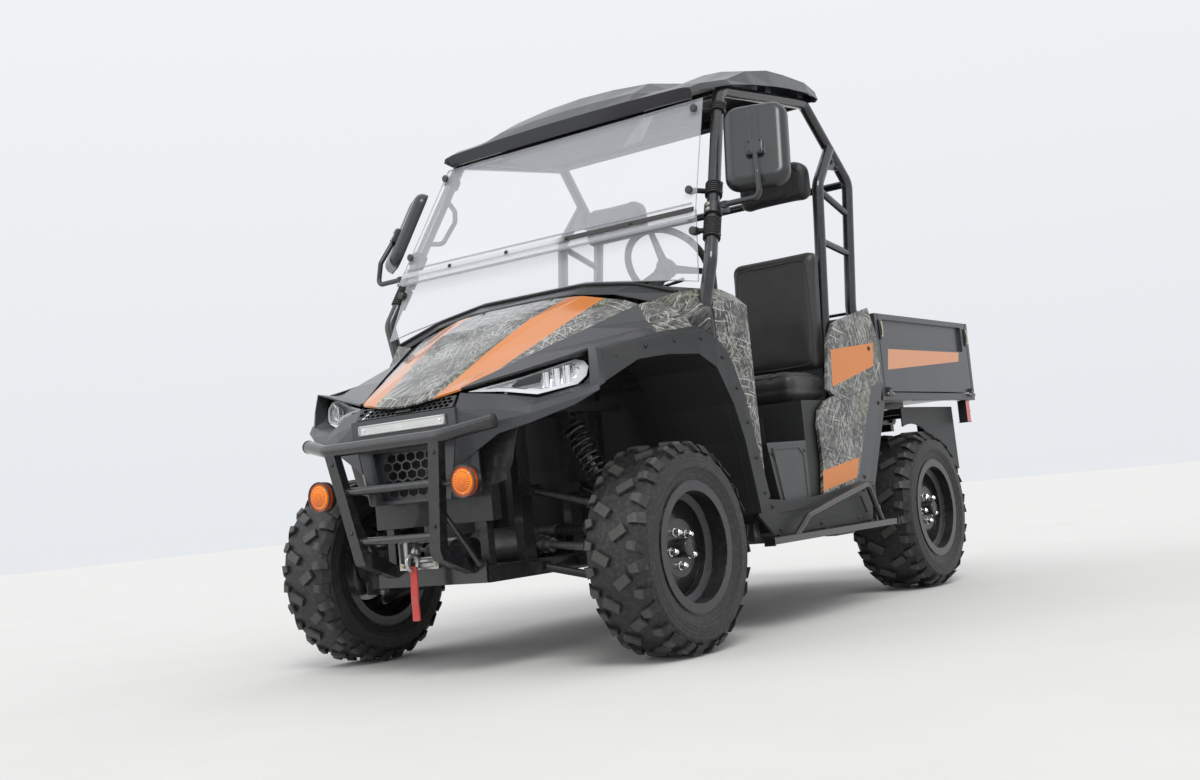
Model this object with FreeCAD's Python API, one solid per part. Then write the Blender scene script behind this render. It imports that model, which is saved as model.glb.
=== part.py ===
import FreeCAD
import Part
import math
import os

# Two-seat side by side utility vehicle with a roll cage under a moulded roof, a clear two-piece
# windscreen and a tipping cargo bed with drop sides.
# Millimetres. X points to the vehicle's left, Y to its rear and Z up. The origin is on the
# ground, under the middle of the overall length and width.

V = FreeCAD.Vector

# Running gaps
CLEAR = 0.3            # between pieces that are seated on each other
MOVING_GAP = 6.0       # between pieces that move past each other

# Chassis layout
WHEELBASE = 2000.0
FRONT_AXLE_Y = -1040.0
REAR_AXLE_Y = FRONT_AXLE_Y + WHEELBASE

# Wheels and tyres
TYRE_R = 330.0
LUG_HEIGHT = 14.0
CARCASS_R = TYRE_R - LUG_HEIGHT
AXLE_Z = TYRE_R
FRONT_TYRE_W = 229.0
REAR_TYRE_W = 279.0
FRONT_WHEEL_X = 661.0
REAR_WHEEL_X = 592.0
TYRE_SIDES = 36
LUG_PITCHES = 14
LUG_W = 30.0
LUG_SWEEP_DEG = 30.0
SHOULDER_SWEEP_DEG = -12.0
BEAD_R = 178.0
BEAD_INSET = 16.0
FLANGE_R = 203.0
RIM_WALL = 5.0
TYRE_WALL = 12.0
HUB_OFFSET_FRONT = 38.0    # wheel centre plane to the mounting face, outward
HUB_OFFSET_REAR = 80.0
STUD_CIRCLE_R = 55.0
STUD_COUNT = 5
HUB_R = 72.0
HUB_BORE_R = 30.0
SPINDLE_R = 22.0
DISC_R = 110.0
DISC_T = 5.0

# Kingpins, knuckles and arms
FRONT_PIN_X = 590.0
REAR_PIN_X = 510.0
PIN_R = 10.0
EYE_R = 21.0
EYE_H = 26.0
PIN_REACH = 112.0          # axle height to the middle of each arm's eye
KNUCKLE_LUG_T = 16.0
ARM_TUBE_R = 13.0
LOWER_PIVOT_X = 262.0
UPPER_PIVOT_X = 242.0
ARM_PIVOT_HALF = 130.0
LOWER_PIVOT_Z = 307.0
UPPER_PIVOT_Z = 553.0
BOLT_R = 8.0
STEER_ARM = ARM_PIVOT_HALF - 46.0      # kingpin to tie rod ball
STEER_LOCK_DEG = 30.0
TIE_ROD_Z = 408.0
TIE_ROD_R = 9.0
RACK_R = 10.0
RACK_HOUSING_R = 26.0
RACK_HOUSING_HALF = 170.0

# Main frame
RAIL_X = 205.0
RAIL_W = 50.0
RAIL_Z0 = 282.0
RAIL_Z1 = 332.0
RAIL_FRONT_Y = -1400.0
RAIL_REAR_Y = 1500.0
FLOOR_Z = 402.0
BED_RAIL_X = 330.0
BED_RAIL_W = 40.0
BED_RAIL_Z0 = 716.0
BED_RAIL_Z1 = 766.0

# Cargo bed
BED_HALF = 705.0
BED_FRONT_Y = 570.0
BED_REAR_Y = 1586.0
BED_Z0 = 806.0
BED_TOP_Z = 1146.0
BED_FLOOR_T = 14.0
BED_WALL_T = 26.0
BED_HINGE_Y = 1430.0
BED_HINGE_Z = 742.0
BED_TIP_DEG = 42.0
SIDE_DROP_DEG = 90.0

# Roll cage
CAGE_R = 22.5
BRACE_R = 14.0
RAIL_END = (608.0, 330.0, 1998.0)
HOOP_KNEE = (638.0, 599.0, 1701.0)
HOOP_WAIST = (638.0, 504.0, 1185.0)
HOOP_FOOT = (638.0, 496.0, 372.6)
BPOST_JOIN = (633.0, 470.0, 1828.0)
BPOST_KNEE = (640.0, 318.0, 1660.0)
BPOST_WAIST = (640.0, 235.0, 1072.0)
BPOST_FOOT = (640.0, 214.0, 373.0)

# Roof
ROOF_T = 8.0

# Bumper
BAR_R = 21.0
POST_W = 42.0
BAR_END = (400.0, -1515.0, 764.0)
BAR_BEND = (243.0, -1583.0, 736.0)
POST_TOP = (226.0, -1583.0, 736.0)
POST_KNEE = (165.0, -1545.0, 400.0)
POST_FOOT = (165.0, -1412.0, 330.0)
LAMP_X = 307.0
LAMP_Z = 594.0
LAMP_R = 46.0

# The doorway side, from the sill's front end to the rear tyre, drawn at this length
SIDE_FRONT_Y = -572.0
SIDE_DRAWN = 1202.0
SIDE_STRETCH = (REAR_AXLE_Y - TYRE_R - SIDE_FRONT_Y) / SIDE_DRAWN


# Small helpers that build solids

def box(x0, x1, y0, y1, z0, z1):
    """A block between two corners."""
    return Part.makeBox(x1 - x0, y1 - y0, z1 - z0, V(x0, y0, z0))


def rod(start, end, radius):
    """A round bar between two points."""
    a, b = V(*start), V(*end)
    return Part.makeCylinder(radius, (b - a).Length, a, b - a)


def disc(centre, axis, radius, height):
    """A cylinder centred on a point."""
    direction = V(*axis).normalize()
    return Part.makeCylinder(radius, height, V(*centre) - direction * (height / 2), direction)


def prism(outline, axis, low, high):
    """A flat outline, given in the two other coordinates, pushed along an axis."""
    place = {
        "x": lambda p: V(low, p[0], p[1]),
        "y": lambda p: V(p[0], low, p[1]),
        "z": lambda p: V(p[0], p[1], low),
    }[axis]
    reach = {"x": V(high - low, 0, 0), "y": V(0, high - low, 0), "z": V(0, 0, high - low)}[axis]
    points = [place(p) for p in outline]
    return Part.Face(Part.makePolygon(points + points[:1])).extrude(reach)


def bent_bar(points, radius, bend):
    """A round bar through points, with a tangent arc of the bend radius at each inner one."""
    path = [V(*p) for p in points]
    edges = []
    start = path[0]
    for before, corner, after in zip(path, path[1:], path[2:]):
        come = (corner - before).normalize()
        go = (after - corner).normalize()
        turn = come.getAngle(go)
        trim = bend * math.tan(turn / 2)
        first = corner - come * trim
        last = corner + go * trim
        inward = (go - come).normalize()
        middle = corner + inward * (bend / math.cos(turn / 2) - bend)
        edges.append(Part.LineSegment(start, first).toShape())
        edges.append(Part.Arc(first, middle, last).toShape())
        start = last
    edges.append(Part.LineSegment(start, path[-1]).toShape())
    spine = Part.Wire(edges)
    section = Part.Wire(Part.makeCircle(radius, path[0], path[1] - path[0]))
    return spine.makePipeShell([section], True, True)


def flat_face(points):
    return Part.Face(Part.makePolygon(points + points[:1]))


def skin(rings):
    """A closed solid over rings with equal numbers of points, from flat faces.

    A ring's second half runs back along its first half, so a skew quad there takes the other
    diagonal and both sides of a panel fold alike.
    """
    rings = [[V(*p) for p in ring] for ring in rings]
    faces = []
    for ring, following in zip(rings, rings[1:]):
        count = len(ring)
        for i in range(count):
            a, b = ring[i], ring[(i + 1) % count]
            c, d = following[(i + 1) % count], following[i]
            normal = (b - a).cross(d - a)
            if normal.Length > 1e-9 and abs(normal.normalize().dot(c - a)) < 1e-6:
                faces.append(flat_face([a, b, c, d]))
            elif i < count // 2:
                faces.append(flat_face([a, b, c]))
                faces.append(flat_face([a, c, d]))
            else:
                faces.append(flat_face([a, b, d]))
                faces.append(flat_face([b, c, d]))
    faces += end_faces(rings[0]) + end_faces(rings[-1])
    shell = Part.makeShell(faces)
    shell.sewShape()
    solid = Part.makeSolid(shell)
    if solid.Volume < 0:
        solid.reverse()
    return solid


def end_faces(ring):
    """One flat face where the ring is flat, or else triangles across from side to side."""
    normal = (ring[1] - ring[0]).cross(ring[2] - ring[0])
    if normal.Length > 1e-9:
        normal.normalize()
        if all(abs(normal.dot(p - ring[0])) < 1e-6 for p in ring):
            return [flat_face(ring)]
    faces = []
    last = len(ring) - 1
    for i in range(len(ring) // 2 - 1):
        a, b, c, d = ring[i], ring[i + 1], ring[last - i - 1], ring[last - i]
        faces.append(flat_face([a, b, c]))
        faces.append(flat_face([a, c, d]))
    return faces


def sheet(sections, offset):
    """A moulded panel: polylines, one per section, thickened by a constant offset."""
    rings = []
    for line in sections:
        back = [(x + offset[0], y + offset[1], z + offset[2]) for x, y, z in reversed(line)]
        rings.append(list(line) + back)
    return skin(rings)


def fuse(shapes):
    """One solid from touching or overlapping shapes."""
    whole = shapes[0].multiFuse(shapes[1:]) if len(shapes) > 1 else shapes[0]
    return whole.removeSplitter()


def mirrored(shape):
    """The same shape on the vehicle's other side."""
    return shape.mirror(V(0, 0, 0), V(1, 0, 0))


def flip(point):
    return (-point[0], point[1], point[2])


def both_sides(shape):
    return [shape, mirrored(shape)]


def rounded_block(outline, y0, y1, corner, front_edge, back_edge=0.0):
    """A plate between two Y places with rounded corners and rounded front and back edges."""
    x0, x1, z0, z1 = outline
    block = box(x0, x1, y0, y1, z0, z1)
    along_y = [e for e in block.Edges if abs(e.Vertexes[0].Y - e.Vertexes[1].Y) > 1e-6]
    block = block.makeFillet(corner, along_y)
    for place, radius in ((y0, front_edge), (y1, back_edge)):
        if radius:
            rim = [e for e in block.Edges if all(abs(v.Y - place) < 1e-6 for v in e.Vertexes)]
            block = block.makeFillet(radius, rim)
    return block


# Wheels

def ring_points(x, radius, count, phase):
    step = 2 * math.pi / count
    return [
        (x, radius * math.cos(phase + i * step), radius * math.sin(phase + i * step))
        for i in range(count)
    ]


def tread_block(outline, root, crown, bevel_from, bevel_to, drop):
    """One lug drawn at the bottom of the tyre, its outer end sloped towards the sidewall."""
    lug = prism(outline, "z", root, crown)
    side = 1 if bevel_to > 0 else -1
    wedge = prism(
        [(bevel_from, crown + 1), (bevel_to, crown - drop), (bevel_to + side * 6, crown + 1)],
        "y", -80, 80,
    )
    return lug.cut(wedge)


def tyre(width):
    """The carcass with its tread lugs, centred on the origin and turning about X."""
    half = width / 2
    # each pair: distance from the centre plane, radius
    bead_x = half - BEAD_INSET
    right = [
        (bead_x, BEAD_R),
        (bead_x, FLANGE_R + 3),
        (half, 246.0),
        (0.97 * half, 284.0),
        (0.80 * half, CARCASS_R - 6),
        (0.40 * half, CARCASS_R),
    ]
    profile = right + [(-x, radius) for x, radius in reversed(right)]
    phase = -math.pi / 2 + math.pi / TYRE_SIDES
    flat = 1 / math.cos(math.pi / TYRE_SIDES)
    shell = skin([ring_points(x, r * flat, TYRE_SIDES, phase) for x, r in profile])
    # the cavity leaves a wall behind the tread and sidewalls, open at the beads
    inner = [
        (bead_x - 15, BEAD_R - 1.0),
        (bead_x - 12, FLANGE_R + 3),
        (half - TYRE_WALL, 246.0),
        (0.80 * half - TYRE_WALL, CARCASS_R - 8 - TYRE_WALL),
    ]
    cavity_profile = inner + [(-x, radius) for x, radius in reversed(inner)]
    cavity = skin([ring_points(x, r * flat, TYRE_SIDES, phase) for x, r in cavity_profile])
    seat = disc((0, 0, 0), (1, 0, 0), BEAD_R + CLEAR, width * 1.2)
    shell = shell.cut(cavity.fuse(seat))
    lugs = []
    root = CARCASS_R - TYRE_WALL / 2
    pitch = 360.0 / LUG_PITCHES
    for side in (1, -1):
        sweep = math.radians(LUG_SWEEP_DEG)
        reach = half * 0.24 * math.sin(sweep) + LUG_W / 2 * math.cos(sweep)
        crown = math.sqrt(TYRE_R ** 2 - reach ** 2)
        ends = (side * 4.0, side * half * 0.52)
        centre = [(x, y) for x, y in (
            (ends[0], -LUG_W / 2), (ends[1], -LUG_W / 2), (ends[1], LUG_W / 2), (ends[0], LUG_W / 2)
        )]
        reach = half * 0.2 + LUG_W * 0.62
        low_crown = math.sqrt(TYRE_R ** 2 - reach ** 2)
        outer = [
            (side * half * 0.56, -LUG_W * 0.36), (side * half * 0.98, -LUG_W * 0.62),
            (side * half * 0.98, LUG_W * 0.62), (side * half * 0.56, LUG_W * 0.36),
        ]
        for i in range(LUG_PITCHES):
            turn = pitch * (i + (0.5 if side < 0 else 0.0))
            lug = prism(centre, "z", root, crown)
            lug.rotate(V(side * half * 0.28, 0, 0), V(0, 0, 1), side * LUG_SWEEP_DEG)
            lug.rotate(V(0, 0, 0), V(1, 0, 0), 180 + turn)
            lugs.append(lug)
            for step, sweep_deg in ((0.5, SHOULDER_SWEEP_DEG), (1.0, -SHOULDER_SWEEP_DEG)):
                block = tread_block(outer, root - 14, low_crown, side * half * 0.74, side * half, 30)
                block.rotate(V(side * half * 0.56, 0, 0), V(0, 0, 1), side * sweep_deg)
                block.rotate(V(0, 0, 0), V(1, 0, 0), 180 + turn + pitch * (step - 0.25))
                lugs.append(block)
    return shell.multiFuse(lugs)


def rim(width, hub_offset):
    """The pressed steel wheel with its bead flanges, drop well, dish and open centre."""
    lip = 4.7
    half = width / 2 - BEAD_INSET + CLEAR + lip
    seat = BEAD_R - CLEAR
    well = seat - 22
    face = hub_offset - RIM_WALL
    well_out = face
    well_in = face - 62
    wall = RIM_WALL
    outline = [
        (half, FLANGE_R),
        (half - lip, FLANGE_R),
        (half - lip, seat),
        (well_out + 11, seat),
        (well_out, well),
        (well_in, well),
        (well_in - 11, seat),
        (-half + lip, seat),
        (-half + lip, FLANGE_R),
        (-half, FLANGE_R),
        (-half, seat - wall),
        (well_in - 14, seat - wall),
        (well_in - 3, well - wall),
        (well_out + 3, well - wall),
        (well_out + 14, seat - wall),
        (half, seat - wall),
    ]
    dish = [
        (face, HUB_BORE_R),
        (face, HUB_R + 18),
        (face - 24, well - wall + 0.5),
        (face - 24 + wall, well - wall + 0.5),
        (hub_offset, HUB_R + 18),
        (hub_offset, HUB_BORE_R),
    ]
    return fuse([revolved(outline), revolved(dish)])


def revolved(outline):
    """A closed outline of axial place and radius, turned about X."""
    points = [V(x, 0, radius) for x, radius in outline]
    return flat_face(points).revolve(V(0, 0, 0), V(1, 0, 0), 360)


def hub(hub_offset, spindle_x):
    """The wheel hub: flange with brake disc, studs and the spindle that runs in the knuckle."""
    back = hub_offset - RIM_WALL
    flange = disc((back - 8, 0, 0), (1, 0, 0), HUB_R, 16 - 2 * CLEAR)
    nose = disc((back + 10, 0, 0), (1, 0, 0), HUB_BORE_R - CLEAR, 44)
    brake = disc((back - 22, 0, 0), (1, 0, 0), DISC_R, DISC_T)
    neck = disc((back - 14, 0, 0), (1, 0, 0), 34.0, 16)
    spindle = rod((spindle_x, 0, 0), (back, 0, 0), SPINDLE_R)
    studs = []
    for i in range(STUD_COUNT):
        angle = math.radians(45 + 360 / STUD_COUNT * i)
        y, z = STUD_CIRCLE_R * math.cos(angle), STUD_CIRCLE_R * math.sin(angle)
        studs.append(rod((hub_offset + CLEAR, y, z), (hub_offset + 16, y, z), 10.5))
    return fuse([flange, nose, brake, neck, spindle]), studs


def at_wheel(shape, x, y, side):
    """A wheel piece carried from the origin to its axle, mirrored for the right side."""
    placed = shape.copy()
    placed.translate(V(x, y, AXLE_Z))
    return placed if side > 0 else mirrored(placed)


# Knuckles and suspension

def knuckle(pin_x, y, wheel_x, hub_offset, steered):
    """The upright: bearing housing, C-shaped web, two kingpin studs and a steering arm."""
    disc_back = wheel_x + hub_offset - RIM_WALL - 22 - DISC_T / 2 - MOVING_GAP
    housing_in = pin_x + 30
    z = AXLE_Z
    housing = rod((housing_in, y, z), (disc_back, y, z), 46.0)
    lug_top = z + PIN_REACH - EYE_H / 2 - MOVING_GAP
    lug_low = z - PIN_REACH + EYE_H / 2 + MOVING_GAP
    web_x1 = housing_in + 26
    web = box(housing_in, web_x1, y - 22, y + 22, lug_low, lug_top)
    pieces = [housing, web]
    for low, high in ((lug_top - KNUCKLE_LUG_T, lug_top), (lug_low, lug_low + KNUCKLE_LUG_T)):
        pieces.append(box(pin_x, web_x1, y - 22, y + 22, low, high))
        pieces.append(Part.makeCylinder(22, KNUCKLE_LUG_T, V(pin_x, y, low)))
    pieces.append(rod((pin_x, y, lug_top - 2), (pin_x, y, z + PIN_REACH + EYE_H / 2 + 4), PIN_R))
    pieces.append(rod((pin_x, y, lug_low + 2), (pin_x, y, z - PIN_REACH - EYE_H / 2 - 4), PIN_R))
    if steered:
        arm_top = TIE_ROD_Z - TIE_ROD_R - MOVING_GAP
        pieces.append(box(pin_x - 12, web_x1, y, y + STEER_ARM, arm_top - 16, arm_top))
        pieces.append(Part.makeCylinder(16, 16, V(pin_x, y + STEER_ARM, arm_top - 16)))
    body = fuse(pieces)
    bore = rod((housing_in - 5, y, z), (disc_back + 5, y, z), SPINDLE_R + CLEAR)
    return body.cut(bore)


def wishbone(pin_x, y, z_eye, pivot_x, z_pivot):
    """A V of tubes from the kingpin eye to two barrels on the frame's ears."""
    eye = Part.makeCylinder(EYE_R, EYE_H, V(pin_x, y, z_eye - EYE_H / 2))
    start_x = pin_x - 8
    pieces, holes = [eye], [
        Part.makeCylinder(PIN_R + CLEAR, EYE_H + 20, V(pin_x, y, z_eye - EYE_H / 2 - 10))
    ]
    for end in (-1, 1):
        pivot = (pivot_x, y + end * ARM_PIVOT_HALF, z_pivot)
        pieces.append(rod((start_x, y, z_eye), pivot, ARM_TUBE_R))
        pieces.append(disc(pivot, (0, 1, 0), 16.0, 43.4))
        holes.append(disc(pivot, (0, 1, 0), BOLT_R + CLEAR, 60))
    share = 0.4
    reach = share * ARM_PIVOT_HALF
    cross_x = start_x + share * (pivot_x - start_x)
    cross_z = z_eye + share * (z_pivot - z_eye)
    pieces.append(rod((cross_x, y - reach, cross_z), (cross_x, y + reach, cross_z), 9.0))
    if z_pivot > AXLE_Z:
        for end in (-1, 1):
            near, far = y + end * 16.3, y + end * 22.3
            foot = [(cross_x - 16, cross_z - 4), (cross_x + 16, cross_z - 4)]
            foot += [(cross_x + 16, cross_z + 50), (cross_x - 16, cross_z + 50)]
            pieces.append(prism(foot, "y", min(near, far), max(near, far)))
        pieces.append(rod((cross_x, y - 20, cross_z + 36), (cross_x, y + 20, cross_z + 36), 6.0))
    return fuse(pieces).cut(holes[0].multiFuse(holes[1:])), (cross_x, y, cross_z + 36)


def pivot_ears(x_from, pivot_x, y, z):
    """Two ears and a bolt that hold one barrel of a wishbone."""
    pieces = [rod((pivot_x, y - 28, z), (pivot_x, y + 28, z), BOLT_R)]
    for end in (-1, 1):
        near, far = y + end * 22.3, y + end * 28.3
        pieces.append(box(x_from, pivot_x + 14, min(near, far), max(near, far), z - 17, z + 17))
    return pieces


def placed_along(shape, start, end):
    """A shape drawn up the Z axis from the origin, laid from one point towards another."""
    a, b = V(*start), V(*end)
    shape.Placement = FreeCAD.Placement(a, FreeCAD.Rotation(V(0, 0, 1), b - a))
    return shape


def turned(outline):
    """A closed outline of radius and height, turned about Z."""
    points = [V(radius, 0, z) for radius, z in outline]
    return flat_face(points).revolve(V(0, 0, 0), V(0, 0, 1), 360)


def coil_over(foot, head, spring_r):
    """A damper between two eyes, with its coil spring drawn as a stack of turns."""
    length = (V(*head) - V(*foot)).Length
    turns = 8
    low, high = 0.22 * length, 0.84 * length
    pitch = (high - low) / turns
    wire = 6.0
    outline = [(0, 6), (11, 6), (11, low - 12), (spring_r + 3, low - 7), (spring_r + 3, low)]
    for i in range(turns):
        z = low + i * pitch
        outline += [(spring_r - 2 * wire, z + 0.12 * pitch), (spring_r, z + 0.36 * pitch)]
        outline += [(spring_r, z + 0.64 * pitch), (spring_r - 2 * wire, z + 0.88 * pitch)]
    outline += [(spring_r + 3, high), (spring_r + 3, high + 7), (20, high + 11)]
    outline += [(20, length - 34), (11, length - 30), (11, length - 6), (0, length - 6)]
    body = placed_along(turned(outline), foot, head)
    eyes = [disc(end, (0, 1, 0), 14.0, 32.0) for end in (foot, head)]
    holes = [disc(end, (0, 1, 0), 6.0 + CLEAR, 50.0) for end in (foot, head)]
    return fuse([body] + eyes).cut(holes[0].fuse(holes[1]))


def half_shaft(start, end):
    """A drive shaft with a bellows boot at each end."""
    length = (V(*end) - V(*start)).Length
    inner = (36, 30, 33, 26, 29, 21, 24)
    outer = (38, 38, 30, 35, 27, 31, 22)
    outline = [(0, 0)]
    for i, radius in enumerate(inner):
        outline += [(radius, i * 13), (radius, (i + 1) * 13)]
    outline += [(13, 91), (13, length - 91)]
    for i, radius in reversed(list(enumerate(outer))):
        outline += [(radius, length - (i + 1) * 13), (radius, length - i * 13)]
    outline.append((0, length))
    return placed_along(turned(outline), start, end)


# Chassis frame

def frame():
    """Ladder rails with cross members, arm pivots, and outriggers for the cage and floor."""
    x0, x1 = RAIL_X - RAIL_W / 2, RAIL_X + RAIL_W / 2
    pieces = []
    for side in (-1, 1):
        low, high = sorted((side * x0, side * x1))
        pieces.append(box(low, high, RAIL_FRONT_Y, RAIL_REAR_Y, RAIL_Z0, RAIL_Z1))
    for y0, y1, z0, z1 in (
        (RAIL_FRONT_Y, -1350, RAIL_Z0, RAIL_Z1),
        (-1065, -1015, RAIL_Z0, 312),
        (-985, -928, 296, RAIL_Z1),
        (-600, -550, RAIL_Z0, RAIL_Z1),
        (190, 238, RAIL_Z0, RAIL_Z1),
        (472, 520, RAIL_Z0, RAIL_Z1),
        (935, 985, RAIL_Z0, 312),
        (1450, RAIL_REAR_Y, RAIL_Z0, RAIL_Z1),
    ):
        pieces.append(box(-x0, x0, y0, y1, z0, z1))
    half = []
    for axle in (FRONT_AXLE_Y, REAR_AXLE_Y):
        for end in (-1, 1):
            half += pivot_ears(x1 - 1, LOWER_PIVOT_X, axle + end * ARM_PIVOT_HALF, LOWER_PIVOT_Z)
    for y0, y1, reach in ((190, 238, 664), (472, 520, 664), (-560, -520, 690)):
        half.append(box(x1 - 1, reach, y0, y1, RAIL_Z1 - 20, 372))
    half.append(box(x0, x1, -560, 520, RAIL_Z1, 372))
    for piece in half:
        pieces += both_sides(piece)
    return fuse(pieces)


def tower(axle_y, top):
    """The uprights over one axle's arm pivots, with the upper pivots."""
    pieces = []
    for end in (-1, 1):
        y = axle_y + end * ARM_PIVOT_HALF
        pieces.append(box(183, 215, y - 28.3, y + 28.3, RAIL_Z1, top))
        pieces += pivot_ears(214, UPPER_PIVOT_X, y, UPPER_PIVOT_Z)
    return pieces


def front_frame():
    """Uprights and tubes over the front axle that carry the shock heads, and the dash beam."""
    half = tower(FRONT_AXLE_Y, 828)
    for end in (-1, 1):
        y = FRONT_AXLE_Y + end * ARM_PIVOT_HALF
        half.append(box(0, 339, y - 16, y + 16, 796, 828))
    half.append(box(305, 339, -1380, -770, 796, 828))
    half += shock_ears(SHOCK_FRONT_HEAD, 800)
    half.append(box(0, 712, -748, -712, 872, 889.7))
    half.append(box(183, 215, -748, -712, RAIL_Z1, 873))
    pieces = []
    for piece in half:
        pieces += both_sides(piece)
    stands = both_sides(box(183, 215, -1376, -1344, RAIL_Z1, 470))
    return [fuse(pieces)] + stands


def rear_frame():
    """Uprights and tubes over the rear axle, the bed's rails and its hinge pins."""
    half = tower(REAR_AXLE_Y, BED_RAIL_Z0)
    bed_out = BED_RAIL_X + BED_RAIL_W / 2
    bed_in = BED_RAIL_X - BED_RAIL_W / 2
    half.append(box(bed_in, bed_out, 560, BED_HINGE_Y + 38, BED_RAIL_Z0, BED_RAIL_Z1))
    for y in (600, REAR_AXLE_Y - ARM_PIVOT_HALF, REAR_AXLE_Y + ARM_PIVOT_HALF, BED_HINGE_Y):
        half.append(box(0, bed_out, y - 16, y + 16, BED_RAIL_Z0 - 32, BED_RAIL_Z0))
    for y in (600, BED_HINGE_Y):
        half.append(box(183, 215, y - 16, y + 16, RAIL_Z1, BED_RAIL_Z0 - 32))
    half += shock_ears(SHOCK_REAR_HEAD, BED_RAIL_Z0 + 4)
    hinge = (BED_HINGE_Y, BED_HINGE_Z)
    half.append(rod((bed_out - 5, *hinge), (bed_out + 18, *hinge), 10.0))
    pieces = []
    for piece in half:
        pieces += both_sides(piece)
    return fuse(pieces)


SHOCK_SPRING_R = 38.0
SHOCK_FRONT_HEAD = (322.0, FRONT_AXLE_Y, 776.0)
SHOCK_REAR_HEAD = (300.0, REAR_AXLE_Y, 694.0)


def shock_ears(head, z_top):
    """Two ears and a bolt that hold a shock's upper eye."""
    x, y, z = head
    pieces = [rod((x, y - 22, z), (x, y + 22, z), 6.0)]
    for end in (-1, 1):
        near, far = y + end * 16.3, y + end * 22.3
        pieces.append(box(x - 15, x + 15, min(near, far), max(near, far), z - 15, z_top))
    pieces.append(box(x - 15, 339 if y < 0 else 340, y - 22.3, y + 22.3, z + 16, z_top))
    return pieces


def skid_plate():
    return box(-180, 180, -1340, -620, RAIL_Z0 - 5, RAIL_Z0)


def bumper():
    """The front bull bar: a bent top tube on two flat-faced posts, braces and a fairlead plate."""
    path = [BAR_END, BAR_BEND, flip(BAR_BEND), flip(BAR_END)]
    pieces = [bent_bar(path, BAR_R, 70)]
    (top_x, top_y, top_z), (low_x, low_y, low_z), (_, foot_y, foot_z) = POST_TOP, POST_KNEE, POST_FOOT
    half = POST_W / 2
    seen_ahead = [(top_x - half, top_z), (top_x + half, top_z), (low_x + half, low_z)]
    seen_ahead += [(low_x + half, 300), (low_x - half, 300), (low_x - half, low_z)]
    seen_aside = [(top_y - 15, top_z), (top_y + 15, top_z), (low_y + 14, low_z + 10)]
    seen_aside += [(foot_y, foot_z + 22), (foot_y, foot_z - 18), (low_y - 8, low_z - 34)]
    seen_aside.append((low_y - 19, low_z - 6))
    post = prism(seen_ahead, "y", -1700, -1300).common(prism(seen_aside, "x", 100, 300))
    brace = rod((186, low_y - 4, 520), (204, foot_y + 1, foot_z + 8), 10.0)
    pieces += both_sides(post) + both_sides(brace)
    for side in (1, -1):
        pieces.append(rod((side * 195, -1564, LAMP_Z), (side * 300, -1540, LAMP_Z), 7.0))
    pieces.append(rod((-199, -1562, 600), (199, -1562, 600), 13.0))
    pieces.append(rod((-167, -1547, 440), (167, -1547, 440), 13.0))
    pieces.append(box(-230, 230, foot_y - 2, RAIL_FRONT_Y, RAIL_Z0, 352))
    return fuse(pieces)


def indicators():
    """Two round amber lamps with their housings."""
    lamps = []
    for side in (1, -1):
        x = side * LAMP_X
        lens = disc((x, -1566, LAMP_Z), (0, 1, 0), LAMP_R, 16)
        bowl = disc((x, -1575, LAMP_Z), (0, 1, 0), LAMP_R - 12, 6)
        lamps.append(fuse([lens, bowl]))
    return lamps


def indicator_cases():
    cases = []
    for side in (1, -1):
        x = side * LAMP_X
        case = disc((x, -1551, LAMP_Z), (0, 1, 0), LAMP_R + 3, 14)
        stem = rod((side * 300, -1544.5, LAMP_Z), (side * 300, -1530, LAMP_Z), 12.0)
        socket = rod((side * 190, -1565.2, LAMP_Z), (side * 300, -1540, LAMP_Z), 7.0 + CLEAR)
        cases.append(fuse([case, stem]).cut(socket))
    return cases


def winch():
    """The winch on its tray behind the bumper."""
    y, z = -1350, 384
    pieces = [
        rod((-62, y, z), (62, y, z), 24.0),
        rod((-150, y, z), (-60, y, z), 38.0),
        rod((60, y, z), (132, y, z), 38.0),
        box(-140, -66, y - 36, y + 36, z - 52, z - 8),
        box(66, 122, y - 36, y + 36, z - 52, z - 8),
    ]
    return fuse(pieces)


def fairlead():
    """The roller fairlead on the bumper's plate: C-shaped frame, two pairs of rollers."""
    x, front, back, z0, z1 = 82, -1466, -1414, 338, 442
    shell = box(-x, x, front, back, z0, z1)
    shell = shell.cut(box(-x + 6, x - 6, front - 1, back - 10, z0 + 6, z1 - 6))
    shell = shell.cut(box(-48, 48, front - 1, back + 1, 374, 420))
    rollers = []
    for side in (1, -1):
        rollers.append(rod((side * 60, -1453, z0 + 3), (side * 60, -1453, z1 - 3), 10.0))
    for z in (363, 429):
        rollers.append(rod((-x + 3, -1434, z), (x - 3, -1434, z), 7.5))
    return fuse([shell] + rollers)


def winch_hook():
    """A forged hook hanging in front of the fairlead."""
    pieces = [rod((0, -1470, 400), (0, -1372.6, 396), 5.0)]
    pieces.append(disc((0, -1474, 394), (1, 0, 0), 15.0, 12))
    ring = Part.makeTorus(24, 7, V(0, -1494, 362), V(1, 0, 0))
    pieces.append(ring)
    return fuse(pieces)


def winch_strap():
    return box(-14, 14, -1497, -1491, 180, 331)


# Front body

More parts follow.
